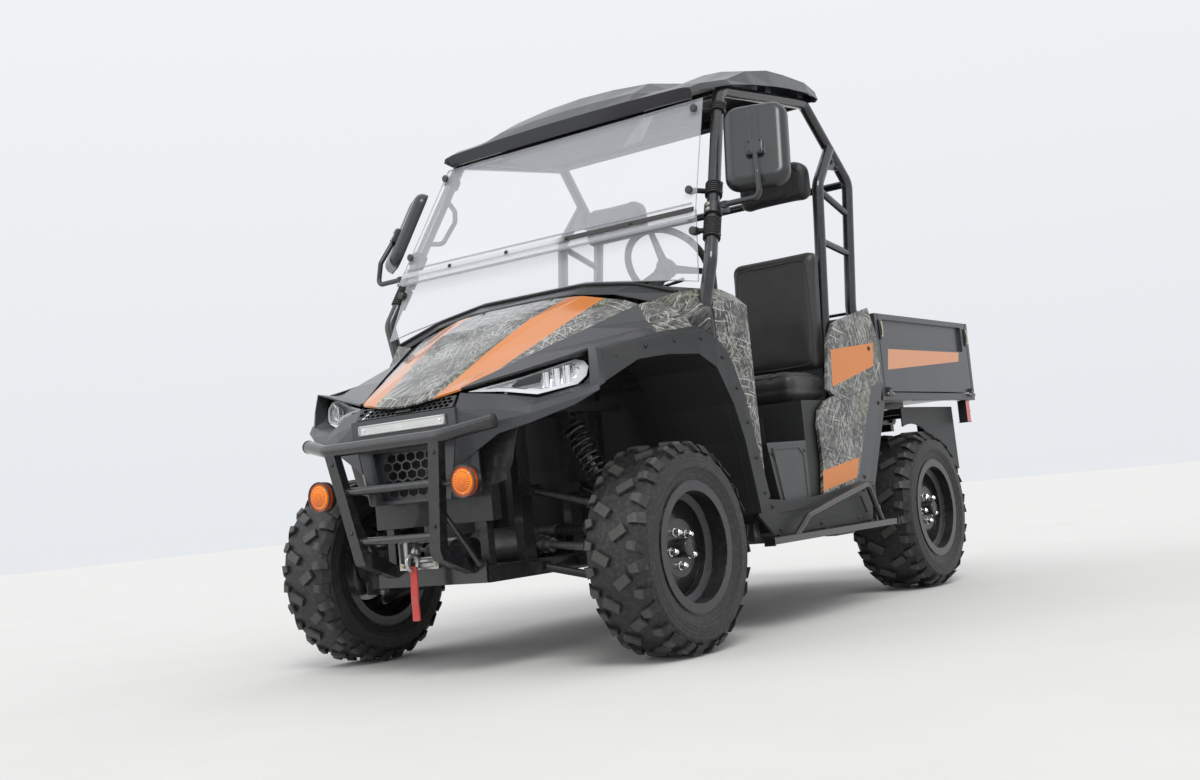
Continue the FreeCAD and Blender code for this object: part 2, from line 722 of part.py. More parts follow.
def mesh_panel(outline, y0, y1, pitch, wall, border, stretch=1.0):
    """A plate with a border and a field of six-sided holes, which may be stretched along X."""
    xs = [p[0] for p in outline]
    zs = [p[1] for p in outline]
    plate = prism(outline, "y", y0, y1)
    inner_x = max(xs) - border
    low, high = min(zs) + border, max(zs) - border
    slope = (outline[1][0] - outline[2][0]) / (outline[2][1] - outline[1][1])
    radius = (pitch - wall) / math.sqrt(3)
    holes = []
    rows = int((high - low) / (pitch * 0.866))
    spare = (high - low) - rows * pitch * 0.866
    for row in range(rows):
        z = low + spare / 2 + pitch * 0.866 * (row + 0.5)
        step = pitch * stretch
        shift = step / 2 if row % 2 else 0.0
        limit = inner_x - step / 2
        if slope:
            limit -= abs(slope) * abs(high - z if slope < 0 else z - low)
        count = int(limit / step) + 1
        for col in range(-count - 1, count + 2):
            x = col * step + shift
            if abs(x) > limit:
                continue
            hexagon = []
            for k in range(6):
                a = math.radians(60 * k)
                reach = radius * math.sin(a) * (step - wall) / (pitch - wall)
                hexagon.append((x + reach, z + radius * math.cos(a)))
            holes.append(prism(hexagon, "y", y0 - 1, y1 + 1))
    return plate.cut(Part.makeCompound(holes))


def fascia():
    """The black nose: plate panel, grille surround and the two cheeks under the headlights."""
    stations = [
        [(211, -1441, 870), (216, -1478, 818), (218, -1482, 768), (214, -1464, 655)],
        [(345, -1399, 850), (345, -1432, 806), (345, -1444, 768), (345, -1440, 729)],
        [(440, -1350, 828), (442, -1384, 804), (442, -1398, 780), (442, -1396, 753)],
        [(560, -1272, 856), (566, -1312, 834), (569, -1332, 812), (565, -1334, 792)],
        [(596, -1240, 905), (616, -1262, 872), (628, -1284, 850), (630, -1296, 828)],
    ]
    cheek = sheet(stations, (0, 7, 0))
    pieces = both_sides(cheek)
    pieces.append(box(-224, 224, -1488, -1474, 760, 824))
    ring = prism([(-172, 548), (172, 548), (216, 762), (-216, 762)], "y", -1480, -1462)
    hole = prism([(-120, 560), (120, 560), (148, 716), (-148, 716)], "y", -1490, -1450)
    pieces.append(ring.cut(hole))
    pieces.append(box(-212, 212, -1462, -1448, 722, 760))
    facet = [[(168, -1478, 549), (206, -1452, 552), (236, -1410, 566)]]
    facet.append([(214, -1478, 761), (240, -1458, 756), (262, -1440, 744)])
    pieces += both_sides(sheet(facet, (0, 6, 0)))
    for side in (1, -1):
        low, high = sorted((side * 310, side * 334))
        pieces.append(box(low, high, -1424, -1380 - CLEAR, 800, 822))
    return fuse(pieces)


UPPER_MESH_H = 44.0
UPPER_MESH_LEAN = 35.0


def grilles():
    """The narrow upper mesh over the plate panel and the lower mesh in the nose."""
    z0 = 827.4
    upper = [(-208, z0), (208, z0), (208, z0 + UPPER_MESH_H), (-208, z0 + UPPER_MESH_H)]
    lower = [(-126, 554), (126, 554), (154, 722), (-154, 722)]
    leaning = mesh_panel(upper, -1480, -1475, 14.6, 3.2, 2.0, 1.55)
    leaning.rotate(V(0, -1480, z0), V(1, 0, 0), -UPPER_MESH_LEAN)
    return [leaning, mesh_panel(lower, -1461.5, -1456, 32, 6, 9, 1.3)]


def name_plate():
    return box(-188, 188, -1494, -1488, 776, 808)


HEADLIGHT = [
    (232.0, -1424.0, 870.0),
    (345.0, -1392.0, 858.0),
    (440.0, -1343.0, 838.0),
    (545.0, -1275.0, 857.0),
    (567.0, -1256.0, 880.0),
    (572.0, -1247.0, 908.0),
    (555.0, -1244.0, 928.0),
    (522.0, -1246.0, 937.0),
    (380.0, -1333.0, 899.0),
]


def toward(points, centre, share):
    return [tuple(a + (c - a) * share for a, c in zip(p, centre)) for p in points]


def lamp_outline(share, dy):
    """The headlight's outline drawn in towards its middle by a share and moved along Y."""
    centre = tuple(sum(p[k] for p in HEADLIGHT) / len(HEADLIGHT) for k in range(3))
    return [(x, y + dy, z) for x, y, z in toward(HEADLIGHT, centre, share)]


def headlights():
    """The clear lenses, each a thin cover inside the lamp's surround."""
    return both_sides(facetted(lamp_outline(0.22, -3), lamp_outline(0.22, 2)))


def facetted(front, back):
    """A lens-like solid between two skew outlines, fanned from their middles."""
    def middle(points):
        return V(*[sum(p[k] for p in points) / len(points) for k in range(3)])

    faces = []
    for ring, flipped in ((front, False), (back, True)):
        m = middle(ring)
        for a, b in zip(ring, ring[1:] + ring[:1]):
            faces.append(flat_face([V(*a), V(*b), m]))
    for i in range(len(front)):
        j = (i + 1) % len(front)
        faces.append(flat_face([V(*front[i]), V(*front[j]), V(*back[j])]))
        faces.append(flat_face([V(*front[i]), V(*back[j]), V(*back[i])]))
    shell = Part.makeShell(faces)
    shell.sewShape()
    solid = Part.makeSolid(shell)
    if solid.Volume < 0:
        solid.reverse()
    return solid


def headlight_bezels():
    """The lamp bodies: a raised surround, a hollow bowl behind the lens and a fixing peg."""
    body = facetted(lamp_outline(0.0, -6), lamp_outline(0.16, 30))
    seat = facetted(lamp_outline(0.215, -40), lamp_outline(0.215, 2.3))
    bowl = facetted(lamp_outline(0.28, -10), lamp_outline(0.36, 22))
    peg = rod((332, -1366, 870), (332, -1366, 828 + CLEAR), 6.0)
    return both_sides(fuse([body.cut(seat.fuse(bowl)), peg]))


FENDER = [
    # hood edge, shoulder, flare's outer edge, arch edge
    ((214, -1437, 885), (524, -1241, 945), (600, -1220, 954), (625, -1244, 857)),
    ((320, -1240, 972), (545, -1130, 987), (648, -1098, 977), (668, -1120, 921)),
    ((426, -1036, 1058), (600, -985, 1032), (692, -975, 999), (704, -1000, 935)),
    ((517, -862, 1130), (650, -835, 1072), (726, -812, 1015), (730, -862, 936)),
    ((640, -800, 1158), (722, -775, 1085), (735, -749, 987), (740, -775, 893)),
    ((694, -700, 1168), (734, -690, 1120), (740, -679, 922), (745, -699, 772)),
    ((694, -620, 1166), (738, -618, 1120), (745, -620, 801), (749, -655, 650)),
    ((696, -542, 1152), (740, -538, 1108), (750, -529, 457), (752, -602, 405)),
]


FLARE_FLANGE = 20.0
FLARE_SEAT = 1.2


def outward(point):
    """The unit vector from the front axle towards a point, seen from the side."""
    y, z = point[1] - FRONT_AXLE_Y, point[2] - AXLE_Z
    size = math.hypot(y, z)
    return (0.0, y / size, z / size)


def moved(point, way, distance, dx=0.0, dz=0.0):
    return (
        point[0] + way[0] * distance + dx,
        point[1] + way[1] * distance,
        point[2] + way[2] * distance + dz,
    )


def deck_edge(k):
    """Where the deck ends at the flare: the point, the way back along the deck, and its normal."""
    c, m, o, i = FENDER[k]
    before, after = FENDER[max(k - 1, 0)][2], FENDER[min(k + 1, len(FENDER) - 1)][2]
    edge = V(*moved(o, outward(o), 3, dx=-14))
    inward = (V(*m) - edge).normalize()
    normal = (V(*after) - V(*before)).cross(inward).normalize()
    if normal.x * 0.6 + normal.z < 0:
        normal = -normal
    return edge, inward, normal


def fender():
    """The left front mudguard's deck and the side of the cowl, down to the flare."""
    rings = []
    for k, (c, m, _, _) in enumerate(FENDER):
        edge, _, normal = deck_edge(k)
        ring = [c, m, tuple(edge), tuple(edge - normal * 5)]
        ring.append((m[0] - (4 if k < 4 else 6), m[1], m[2] - 6))
        ring.append((c[0], c[1], c[2] - 6))
        rings.append(ring)
    pillar = bent_bar(PILLAR_PATH[:3], CAGE_R + 2, 60)
    return skin(rings).cut(pillar)


def flare():
    """The left flare over the wheel: a flange on the deck, the outer face and the lip."""
    rings = []
    for k, (_, _, o, i) in enumerate(FENDER):
        n_o, n_i = outward(o), outward(i)
        edge, inward, normal = deck_edge(k)
        flange = edge + inward * FLARE_FLANGE + normal * FLARE_SEAT
        lip = moved(i, n_i, 0, dx=-30)
        brow = edge + normal * 4.5
        crown = (brow + V(*o)) * 0.5 + normal * 2
        ring = [tuple(flange + normal * 2.6), tuple(brow), tuple(crown), o, i, lip]
        ring += [moved(lip, n_i, 6), moved(i, n_i, 6, dx=-6), moved(o, n_o, -4, dx=-6)]
        ring.append(tuple(edge - inward * 0.8 - normal * 4))
        ring += [tuple(edge - inward * 0.8 + normal * FLARE_SEAT), tuple(flange)]
        rings.append(ring)
    return skin(rings).cut(bent_bar(PILLAR_PATH[:3], CAGE_R + 2, 60))


def arch_liner():
    """The left wheel arch's inner skin, carried in from the flare's lip."""
    rings = []
    for c, m, o, i in FENDER:
        n = outward(i)
        outer = moved(i, n, 0, dx=-30.4)
        inner = (430.0, outer[1], outer[2])
        rings.append([inner, outer, moved(outer, n, 6), moved(inner, n, 6)])
    return skin(rings)


def inner_wall():
    """The left footwell's side, behind the wheel."""
    outline = [(-740, 843), (-690, 770), (-640, 640), (-598, 402), (-572, 402), (-600, 640)]
    outline += [(-640, 860), (-720, 868)]
    return prism(outline, "x", 422, 429.6)


HOOD_FRONT = (0.0, -1487.0, 857.0)
HOOD_CORNER = (208.0, -1442.0, 884.0)
HOOD_REAR_X = 509.0
HOOD_REAR_Y = -850.0
HOOD_REAR_Z = 1209.0
HOOD_REAR_EDGE_Z = 1133.0
HOOD_HINGE_Y = -856.0
HOOD_HINGE_Z = 1186.0
HOOD_OPEN_DEG = 50.0
HOOD_RIDGE = 9.0


def hood():
    """The camouflage bonnet with turned-down sides and two hinge eyes."""
    half_shares = (0.26, 0.48, 0.56, 0.9, 1.0)
    shares = [-s for s in reversed(half_shares)] + [0.0] + list(half_shares)
    sections = []
    for t in (0.0, 0.04, 0.35, 0.7, 1.0):
        half = HOOD_CORNER[0] + (HOOD_REAR_X - HOOD_CORNER[0]) * t
        edge_z = HOOD_CORNER[2] + (HOOD_REAR_EDGE_Z - HOOD_CORNER[2]) * t
        mid_z = HOOD_FRONT[2] + (HOOD_REAR_Z - HOOD_FRONT[2]) * t + 22 * math.sin(math.pi * t)
        edge_y = HOOD_CORNER[1] + (HOOD_REAR_Y - HOOD_CORNER[1]) * t
        mid_y = HOOD_FRONT[1] + (HOOD_REAR_Y - HOOD_FRONT[1]) * t
        if t == 0.0:
            mid_z -= 4
            edge_z -= 3
        line = []
        for s in shares:
            bend = abs(s) ** (1.6 + 1.6 * t)
            rise = HOOD_RIDGE if 0.0 < t < 1.0 and abs(s) < 0.5 else 0.0
            z = mid_z + (edge_z - mid_z) * bend + rise
            line.append((s * half, mid_y + (edge_y - mid_y) * s * s, z))
        sections.append(line)
    shell = sheet(sections, (0, 3, -6))
    pieces = [shell]
    for side in (1, -1):
        low, high = sorted((side * 140, side * 164))
        pieces.append(disc((side * 152, HOOD_HINGE_Y, HOOD_HINGE_Z), (1, 0, 0), 9.0, 24))
        pieces.append(box(low, high, HOOD_HINGE_Y - 9, HOOD_HINGE_Y + 4, HOOD_HINGE_Z, 1204))
    bore = rod((-200, HOOD_HINGE_Y, HOOD_HINGE_Z), (200, HOOD_HINGE_Y, HOOD_HINGE_Z), 4.0 + CLEAR)
    return fuse(pieces).cut(bore)


def hood_hinges():
    """Two pins with brackets that carry the hood's eyes."""
    pieces = []
    y, z = HOOD_HINGE_Y, HOOD_HINGE_Z
    for side in (1, -1):
        pin = rod((side * 130, y, z), (side * 180, y, z), 4.0)
        low, high = sorted((side * 171, side * 180))
        ear = [(y - 6, z - 8), (y - 6, z + 4), (y + 4, z + 4), (y + 14, z - 10), (-800, z - 14)]
        ear += [(-800, 904), (-714, 904), (-714, 890), (-812, 890), (-812, z - 26)]
        pieces.append(fuse([pin, prism(ear, "x", low, high)]))
    return pieces


def cowl():
    """The panel under the windscreen and over the dash."""
    a = [(0, -828, 1220), (235, -828, 1216), (400, -832, 1190), (560, -836, 1138)]
    b = [(0, -757, 1249), (235, -757, 1249), (450, -768, 1216), (636, -796, 1154)]
    c = [(0, -640, 1226), (235, -640, 1226), (450, -650, 1206), (690, -700, 1164)]
    d = [(0, -556, 1160), (235, -556, 1160), (450, -554, 1158), (691, -546, 1148)]
    sections = [[flip(p) for p in reversed(line[1:])] + line for line in (a, b, c, d)]
    shell = sheet(sections, (0, 0, -6))
    pillars = both_sides(bent_bar(PILLAR_PATH[:3], CAGE_R + 2, 60))
    return shell.cut([column_rod(24 + CLEAR, 40, 330), *pillars])


def dash():
    outline = [(-690, 998.3), (-690, 1100), (-640, 1136), (-580, 1136), (-556, 1108)]
    outline += [(-562, 1046), (-610, 998.3)]
    solid = prism(outline, "x", -676, 676)
    return solid.cut(column_rod(24 + CLEAR, 40, 400))


# Cab

STEER_CENTRE = (330.0, -360.0, 1330.0)
STEER_AXIS = (0.0, math.cos(math.radians(38)), math.sin(math.radians(38)))


def along_column(distance):
    return tuple(c - a * distance for c, a in zip(STEER_CENTRE, STEER_AXIS))


def column_rod(radius, start, end):
    return rod(along_column(start), along_column(end), radius)


def steering_column():
    tube = column_rod(24, 80, 330)
    return tube.cut(column_rod(12 + CLEAR, 60, 220))


def steering_wheel():
    """The rim, three spokes, the boss and the shaft that runs in the column."""
    axis = V(*STEER_AXIS)
    ring = Part.makeTorus(160, 13, V(*STEER_CENTRE), axis)
    pieces = [ring, column_rod(34, 8, 52), column_rod(12, 40, 200)]
    side_way = V(1, 0, 0)
    up_way = axis.cross(side_way)
    for angle in (20, 160, 270):
        way = side_way * math.cos(math.radians(angle)) + up_way * math.sin(math.radians(angle))
        start = V(*along_column(26)) + way * 20
        end = V(*STEER_CENTRE) + way * 156
        pieces.append(rod(tuple(start), tuple(end), 9.0))
    return fuse(pieces)


def floor():
    """The floor pan with the toe board and firewall."""
    outline = [(-552, 396), (186, 396), (186, 402), (-548, 402), (-580, 622), (-634, 862)]
    outline += [(-634, 998), (-640, 998), (-640, 862), (-586, 622)]
    pan = prism(outline, "x", -690, 690)
    under = box(-690, 690, -548, 186, 372, 396)
    hollow = box(-660, 660, -520, 160, 371, 396)
    return fuse([pan, under.cut(hollow)])


def seat_base():
    """The box under the seats with a lower step at its front."""
    pieces = [box(-694, 694, -126, 180, 402, 790)]
    return fuse(pieces)


def side_boxes():
    """The storage boxes ahead of the seat base, each with a raised lid panel."""
    outline = [(-416, 640), (-126.3, 643), (-126.3, 402), (-346, 402)]
    lid = [(-384, 622), (-190, 626), (-150, 590), (-150, 430), (-332, 424)]
    groove = [(-376, 614), (-194, 618), (-158, 586), (-158, 438), (-326, 432)]
    body = prism(outline, "x", 548, 694).fuse(prism(lid, "x", 690, 700))
    return both_sides(body.cut(prism(groove, "x", 697, 701)))


def seats():
    """Two cushions and two backs with rounded shoulders."""
    pieces = []
    cushion = [(-150, 790), (-154, 862), (-140, 892), (-100, 908), (60, 896), (150, 890), (150, 790)]
    back = [(100, 893.7), (104, 1100), (140, 1340), (158, 1384), (180, 1396), (200, 1384), (208, 1350)]
    back += [(198, 1100), (186, 889), (150, 890.3)]
    for side in (1, -1):
        low, high = sorted((side * 40, side * 690))
        pieces.append(prism(cushion, "x", low, high))
        low, high = sorted((side * 288, side * 682))
        shape = prism(back, "x", low, high)
        trim = rounded_block((low - 1, high + 1, 800, 1397), 60, 240, 60, 1)
        pieces.append(shape.common(trim))
    return pieces


def headrests():
    """Two rounded pads, each on two stays of the cage."""
    return [
        rounded_block((*sorted((side * 231, side * 571)), 1622, 1806), 372, 445.7, 84, 26)
        for side in (1, -1)
    ]


# Sides

B_PANEL = [(-64, 432), (-40, 560), (-45, 704), (-22, 752), (40, 786), (118, 806), (62, 828)]
B_PANEL += [(106, 1018), (170, 1083), (229, 1103), (497, 1162), (551, 1061), (564, 854)]
B_PANEL += [(341, 462), (249, 464)]


def along_side(outline):
    """A side outline, stretched with the gap between the wheels."""
    return [(SIDE_FRONT_Y + (y - SIDE_FRONT_Y) * SIDE_STRETCH, z) for y, z in outline]


def b_panels():
    return both_sides(prism(along_side(B_PANEL), "x", 700.3, 712))


def rear_trims():
    outline = [(541, 830), (562, 830), (562, 784), (594, 782), (412, 452), (342, 462)]
    return both_sides(prism(along_side(outline), "x", 690, 700))


def sills():
    """The panel under each doorway with a long pressed recess."""
    outline = [(-572, 398), (-532, 450), (-300, 432), (-66, 442), (250, 474), (345, 468)]
    outline += [(310, 322), (-470, 322)]
    recess = [(-440, 352), (-430, 396), (-60, 402), (230, 418), (272, 352)]
    plate = prism(along_side(outline), "x", 712.3, 722)
    return both_sides(plate.cut(prism(along_side(recess), "x", 719, 723)))


def step_bars():
    """A flat step bar under each side with its guard hoop and the stays that carry it."""
    ends = along_side([(-579, 0), (419, 0), (-400, 0), (-286, 0), (219, 0), (320, 0)])
    front, rear, hoop_a, hoop_b, hoop_c, hoop_d = (y for y, _ in ends)
    pieces = [box(742, 776, front, rear, 296, 318)]
    pieces.append(box(738, 780, front - 4, front, 292, 322))
    pieces.append(box(738, 780, rear, rear + 4, 292, 322))
    guard = [(758, hoop_a, 307), (758, hoop_b, 375), (758, hoop_c, 462), (758, hoop_d, 307)]
    pieces.append(bent_bar(guard, 11.0, 30))
    for y, _ in along_side([(-430, 0), (-80, 0), (310, 0)]):
        pieces.append(box(RAIL_X + RAIL_W / 2 + CLEAR, 745, y - 13, y + 13, 296, 318))
        pieces.append(box(706, 722, y - 12, y + 12, 307, 321.7))
    return both_sides(fuse(pieces))


# Roll cage and roof

PILLAR_PATH = [
    (702.0, -742.0, 904.0),
    (702.0, -742.0, 1120.0),
    (736.0, -738.0, 1250.0),
    (633.0, -403.0, 1849.0),
]
PILLAR_HEAD = (620.0, -361.0, 1924.0)


CAGE_JOINT_Y = 372.0
CAGE_SEAM_X = 612.0


def cage():
    """The front of the cage, then the rear legs and the two cross tubes bolted between them."""
    pieces = []
    side = []
    path = [PILLAR_PATH[0], PILLAR_PATH[1], PILLAR_PATH[2], PILLAR_HEAD, RAIL_END]
    path += [HOOP_KNEE, HOOP_WAIST, HOOP_FOOT]
    side.append(bent_bar(path, CAGE_R, 60))
    post = [BPOST_JOIN, BPOST_KNEE, BPOST_WAIST, BPOST_FOOT]
    side.append(bent_bar(post, CAGE_R, 80))
    side.append(rod((640, 318, 1640), (637, 585, 1560), BRACE_R))
    side.append(rod((640, 286, 1431), (638, 544, 1398), BRACE_R))
    side.append(prism([(470, 1826), (546, 1760), (520, 1742), (420, 1736), (400, 1750)], "x", 633, 640))
    for piece in side:
        pieces += both_sides(piece)
    pieces.append(rod((-612, -330, 1925), (612, -330, 1925), 16))
    pieces.append(rod((-608, 320, 1996), (608, 320, 1996), 16))
    pieces.append(rod((-636, 600, 1700), (636, 600, 1700), 16))
    pieces.append(rod((-638, 503, 1100), (638, 503, 1100), 16))
    for x in (-450, -352, 352, 450):
        pieces.append(rod((x, 446, 1700), (x, 600, 1700), 9))
    grab = [(-643, -446, 1773), (-600, -448, 1712), (-600, -453, 1668), (-600, -540, 1570)]
    pieces.append(bent_bar(grab + [(-674, -556, 1582)], 10.0, 20))
    gaps = [box(-700, 700, CAGE_JOINT_Y, CAGE_JOINT_Y + CLEAR, 300, 2100)]
    gaps += both_sides(box(CAGE_SEAM_X, CAGE_SEAM_X + CLEAR, CAGE_JOINT_Y, 700, 1000, 1800))
    solids = fuse(pieces).cut(fuse(gaps)).Solids
    front = [solid for solid in solids if solid.CenterOfMass.y < CAGE_JOINT_Y]
    return front, [solid for solid in solids if solid.CenterOfMass.y > CAGE_JOINT_Y]


ROOF_SHARES = (548.0, 470.0, 395.0, 320.0, 160.0)
ROOF = [
    # y, lower edge (x, z), side top (x, z), then z at each of the shares and in the middle
    (-470, 572, 1885, 568, 1886, 1889, 1890, 1891, 1891, 1892, 1892),
    (-500, 590, 1902, 582, 1918, 1925, 1928, 1930, 1933, 1935, 1936),
    (-455, 612, 1912, 598, 1938, 1948, 1950, 1954, 1972, 1979, 1982),
    (-345, 664, 1936, 646, 1960, 1976, 1982, 1986, 2028, 2044, 2050),
    (-200, 670, 1962, 648, 2018, 2042, 2048, 2036, 2054, 2062, 2066),
    (-30, 668, 1988, 648, 2054, 2078, 2084, 2058, 2068, 2074, 2077),
    (110, 664, 2006, 646, 2064, 2090, 2096, 2070, 2076, 2081, 2084),
    (290, 658, 2022, 644, 2068, 2088, 2092, 2072, 2078, 2081, 2084),
    (385, 650, 2016, 640, 2050, 2064, 2066, 2060, 2064, 2067, 2068),
    (372, 644, 2002, 636, 2006, 2008, 2009, 2009, 2009, 2010, 2010),
]


def roof():
    """The moulded roof: raised middle, a raised rib along each side, lips at front and rear."""
    rings = []
    last = len(ROOF) - 1
    for k, (y, low_x, low_z, top_x, top_z, *heights) in enumerate(ROOF):
        lip = k in (0, 1, last)
        way = -1 if k == last else 1
        half = [(low_x, low_z), (top_x, top_z)] + list(zip(ROOF_SHARES, heights))
        outer = [(-x, z) for x, z in half] + [(0.0, heights[-1])] + [(x, z) for x, z in reversed(half)]
        inner = []
        for n, (x, z) in enumerate(outer):
            edge = n in (0, len(outer) - 1)
            wall = edge or n in (1, len(outer) - 2)
            inner_x = x - math.copysign(ROOF_T, x) if wall else x
            drop = 0.0 if edge or k in (0, last) else ROOF_T * (0.5 if lip else 1.0)
            inner.append((inner_x, y + (way * ROOF_T if lip else 0.0), z - drop))
        rings.append([(x, y, z) for x, z in outer] + list(reversed(inner)))
    shell = skin(rings)
    tube = bent_bar([PILLAR_PATH[2], PILLAR_HEAD, RAIL_END, HOOP_KNEE], CAGE_R + CLEAR, 60)
    pieces = [shell]
    for y in (-300.0, 0.0, 280.0):
        share = (y - PILLAR_HEAD[1]) / (RAIL_END[1] - PILLAR_HEAD[1])
        x, rail_z = (PILLAR_HEAD[k] + (RAIL_END[k] - PILLAR_HEAD[k]) * share for k in (0, 2))
        foot = box(x - 16, x + 16, y - 22, y + 22, rail_z, 2200).cut(tube).cut(shell)
        under = min(foot.Solids, key=lambda p: p.BoundBox.ZMin)
        into_shell = under.translated(V(0, 0, ROOF_T / 2))
        pieces += both_sides(under.fuse(into_shell))
    return fuse(pieces)


def roof_console():
    """The panel that hangs under the roof's front, behind the windscreen."""
    rings = []
    for y, half_top, half_low, top, low in ((-436, 345, 300, 1884, 1850), (-405, 320, 210, 1930, 1800),
                                           (-250, 300, 200, 1980, 1850), (-180, 280, 220, 2010, 1960)):
        rings.append([(-half_top, y, top), (-half_low, y, low), (half_low, y, low), (half_top, y, top)])
    tube = rod((-660, -330, 1925), (660, -330, 1925), 16 + CLEAR)
    return skin(rings).cut(tube)


def slab(points, thick):
    """A flat plate from a planar outline, thickened along its normal."""
    pts = [V(*p) for p in points]
    normal = (pts[1] - pts[0]).cross(pts[2] - pts[1]).normalize()
    face = flat_face([p - normal * (thick / 2) for p in pts])
    return face.extrude(normal * thick)


def lower_screen_y(z):
    return -782 + (z - 1166) * 0.384


def upper_screen_y(z):
    return -665 + (z - 1507) * 0.558


def screens(thick):
    """The two clear panes, the upper one in front of the lower one where they overlap."""
    lower = []
    for x, z in ((-664, 1440), (664, 1440), (704, 1182), (600, 1204), (235, 1260)):
        lower.append((x, lower_screen_y(z), z))
    lower += [(-x, y, z) for x, y, z in reversed(lower[2:])]
    upper = []
    for x, z in ((-606, 1880), (606, 1880), (684, 1404), (-684, 1404)):
        upper.append((x, upper_screen_y(z), z))
    return [slab(lower, thick), slab(upper, thick)]


def pillar_at(z):
    """The front pillar's centre at a height above its lower bend."""
    (x0, y0, z0), (x1, y1, z1) = PILLAR_PATH[2], PILLAR_PATH[3]
    t = (z - z0) / (z1 - z0)
    return (x0 + (x1 - x0) * t, y0 + (y1 - y0) * t, z)


def ribbed_sleeve(centre, direction, ribs):
    """A rubber sleeve with ribs, round the pillar."""
    pitch = 9.0
    outline = [(0, 0)]
    for i in range(ribs):
        outline += [(30, i * pitch), (30, i * pitch + 5), (26.5, i * pitch + 6), (26.5, (i + 1) * pitch)]
    outline += [(30, ribs * pitch), (30, ribs * pitch + 5), (0, ribs * pitch + 5)]
    length = ribs * pitch + 5
    start = V(*centre) - direction * (length / 2)
    return placed_along(turned(outline), tuple(start), tuple(start + direction))


def screen_clamps():
    """Ribbed sleeves with arms on the front pillars that hold the panes, and the joint's rail."""
    direction = (V(*PILLAR_PATH[3]) - V(*PILLAR_PATH[2])).normalize()
    panes = screens(5 + 2 * CLEAR)
    pillar = rod(PILLAR_PATH[2], PILLAR_HEAD, CAGE_R + CLEAR)
    pieces = []
    for z, ribs, upper in ((1840, 3, True), (1512, 5, True), (1362, 8, False)):
        x, y, _ = pillar_at(z)
        sleeve = ribbed_sleeve((x, y, z), direction, ribs)
        screen_y = upper_screen_y(z) if upper else lower_screen_y(z)
        tip = (x - 44, screen_y - 8, z)
        arm = rod((x - 22, y - 12, z), tip, 9.0)
        washer = disc(tip, (0, 1, 0), 15.0, 14.0)
        pieces.append(fuse([sleeve, arm, washer]).cut(pillar).cut(panes[1] if upper else panes[0]))
    solids = []
    for piece in pieces:
        solids += both_sides(max(piece.Solids, key=lambda s: s.Volume))
    rail = []
    for z, out in ((1428, 3.3), (1446, 3.3), (1446, 12), (1428, 12)):
        rail.append((upper_screen_y(z) - out, z))
    solids.append(prism(rail, "x", -672, 672))
    return solids


# Mirrors

MIRROR_PIVOT = (752.0, -636.0)
MIRROR_Z = 1432.0


def mirror_bracket():
    """The left mirror's clamp on the pillar with its upright pin."""
    x, y, z = pillar_at(MIRROR_Z)
    direction = V(*PILLAR_PATH[3]) - V(*PILLAR_PATH[2])
    ring = disc((x, y, z), tuple(direction), 31.0, 44)
    px, py = MIRROR_PIVOT
    arm = box(x + 10, px + 12, py - 10, py + 12, z - 14, z - 2)
    pin = rod((px, py, z - 6), (px, py, z + 26), 6.0)
    pillar = rod(PILLAR_PATH[2], PILLAR_HEAD, CAGE_R + CLEAR)
    return fuse([ring, arm, pin]).cut(pillar)


MIRROR_HALF_W = 111.0
MIRROR_HALF_H = 167.0
MIRROR_DEPTH = 46.0
MIRROR_HEADS = {
    # the glass's middle, its turn towards the driver and how far its top leans back
    1: ((824.0, -500.0, 1642.0), 21.0, 21.0),
    -1: ((-823.0, -481.0, 1655.0), -37.0, 27.0),
}


def mirror_place(side):
    """Where a head drawn upright at the origin, glass to the rear, goes on one side."""
    centre, toe, lean = MIRROR_HEADS[side]
    turn = FreeCAD.Rotation(V(0, 0, 1), toe).multiply(FreeCAD.Rotation(V(1, 0, 0), -lean))
    return FreeCAD.Placement(V(*centre), turn)


def mirror_plate(inset, y0, y1, corner, front_edge=0.0):
    w, h = MIRROR_HALF_W - inset, MIRROR_HALF_H - inset
    return rounded_block((-w, w, -h, h), y0, y1, corner, front_edge)


def mirror(side):
    """One mirror: eye on the pin, bent arm, boss and domed head with a recess for the glass."""
    px, py, z = side * MIRROR_PIVOT[0], MIRROR_PIVOT[1], MIRROR_Z
    place = mirror_place(side)
    head = mirror_plate(0, -MIRROR_DEPTH, 0, 55, 36).cut(mirror_plate(10, -7, 1, 46))
    channel = box(-17, 17, -MIRROR_DEPTH - 1, -MIRROR_DEPTH + 5, -20, MIRROR_HALF_H + 1)
    boss = rounded_block((-31, 31, -62, 0), -MIRROR_DEPTH - 18, -MIRROR_DEPTH + 12, 10, 8)
    head = head.cut(channel).fuse(boss)
    head.Placement = place
    eye = rod((px, py, z + 3), (px, py, z + 24), 14.0)
    top = tuple(place.multVec(V(0, -MIRROR_DEPTH - 8, -52)))
    low = (side * 884.0, -628.0, z + 14)
    upright = (side * 876.0, -614.0, 1535.0)
    arm = bent_bar([(px + side * 4, py, z + 13.5), low, upright, top], 10.0, 24)
    bore = rod((px, py, z - 10), (px, py, z + 40), 6.0 + CLEAR)
    return fuse([eye, arm, head]).cut(bore)


def mirror_glass(side):
    glass = mirror_plate(10 + CLEAR, -6.7, -3, 45.7)
    glass.Placement = mirror_place(side)
    return glass


# Cargo bed

PIN_Z = 814.0
MUDGUARD_GAP = 34.0
SIDE_PIN_X = BED_HALF + 9.0
GATE_PIN_Y = BED_REAR_Y + 9.0


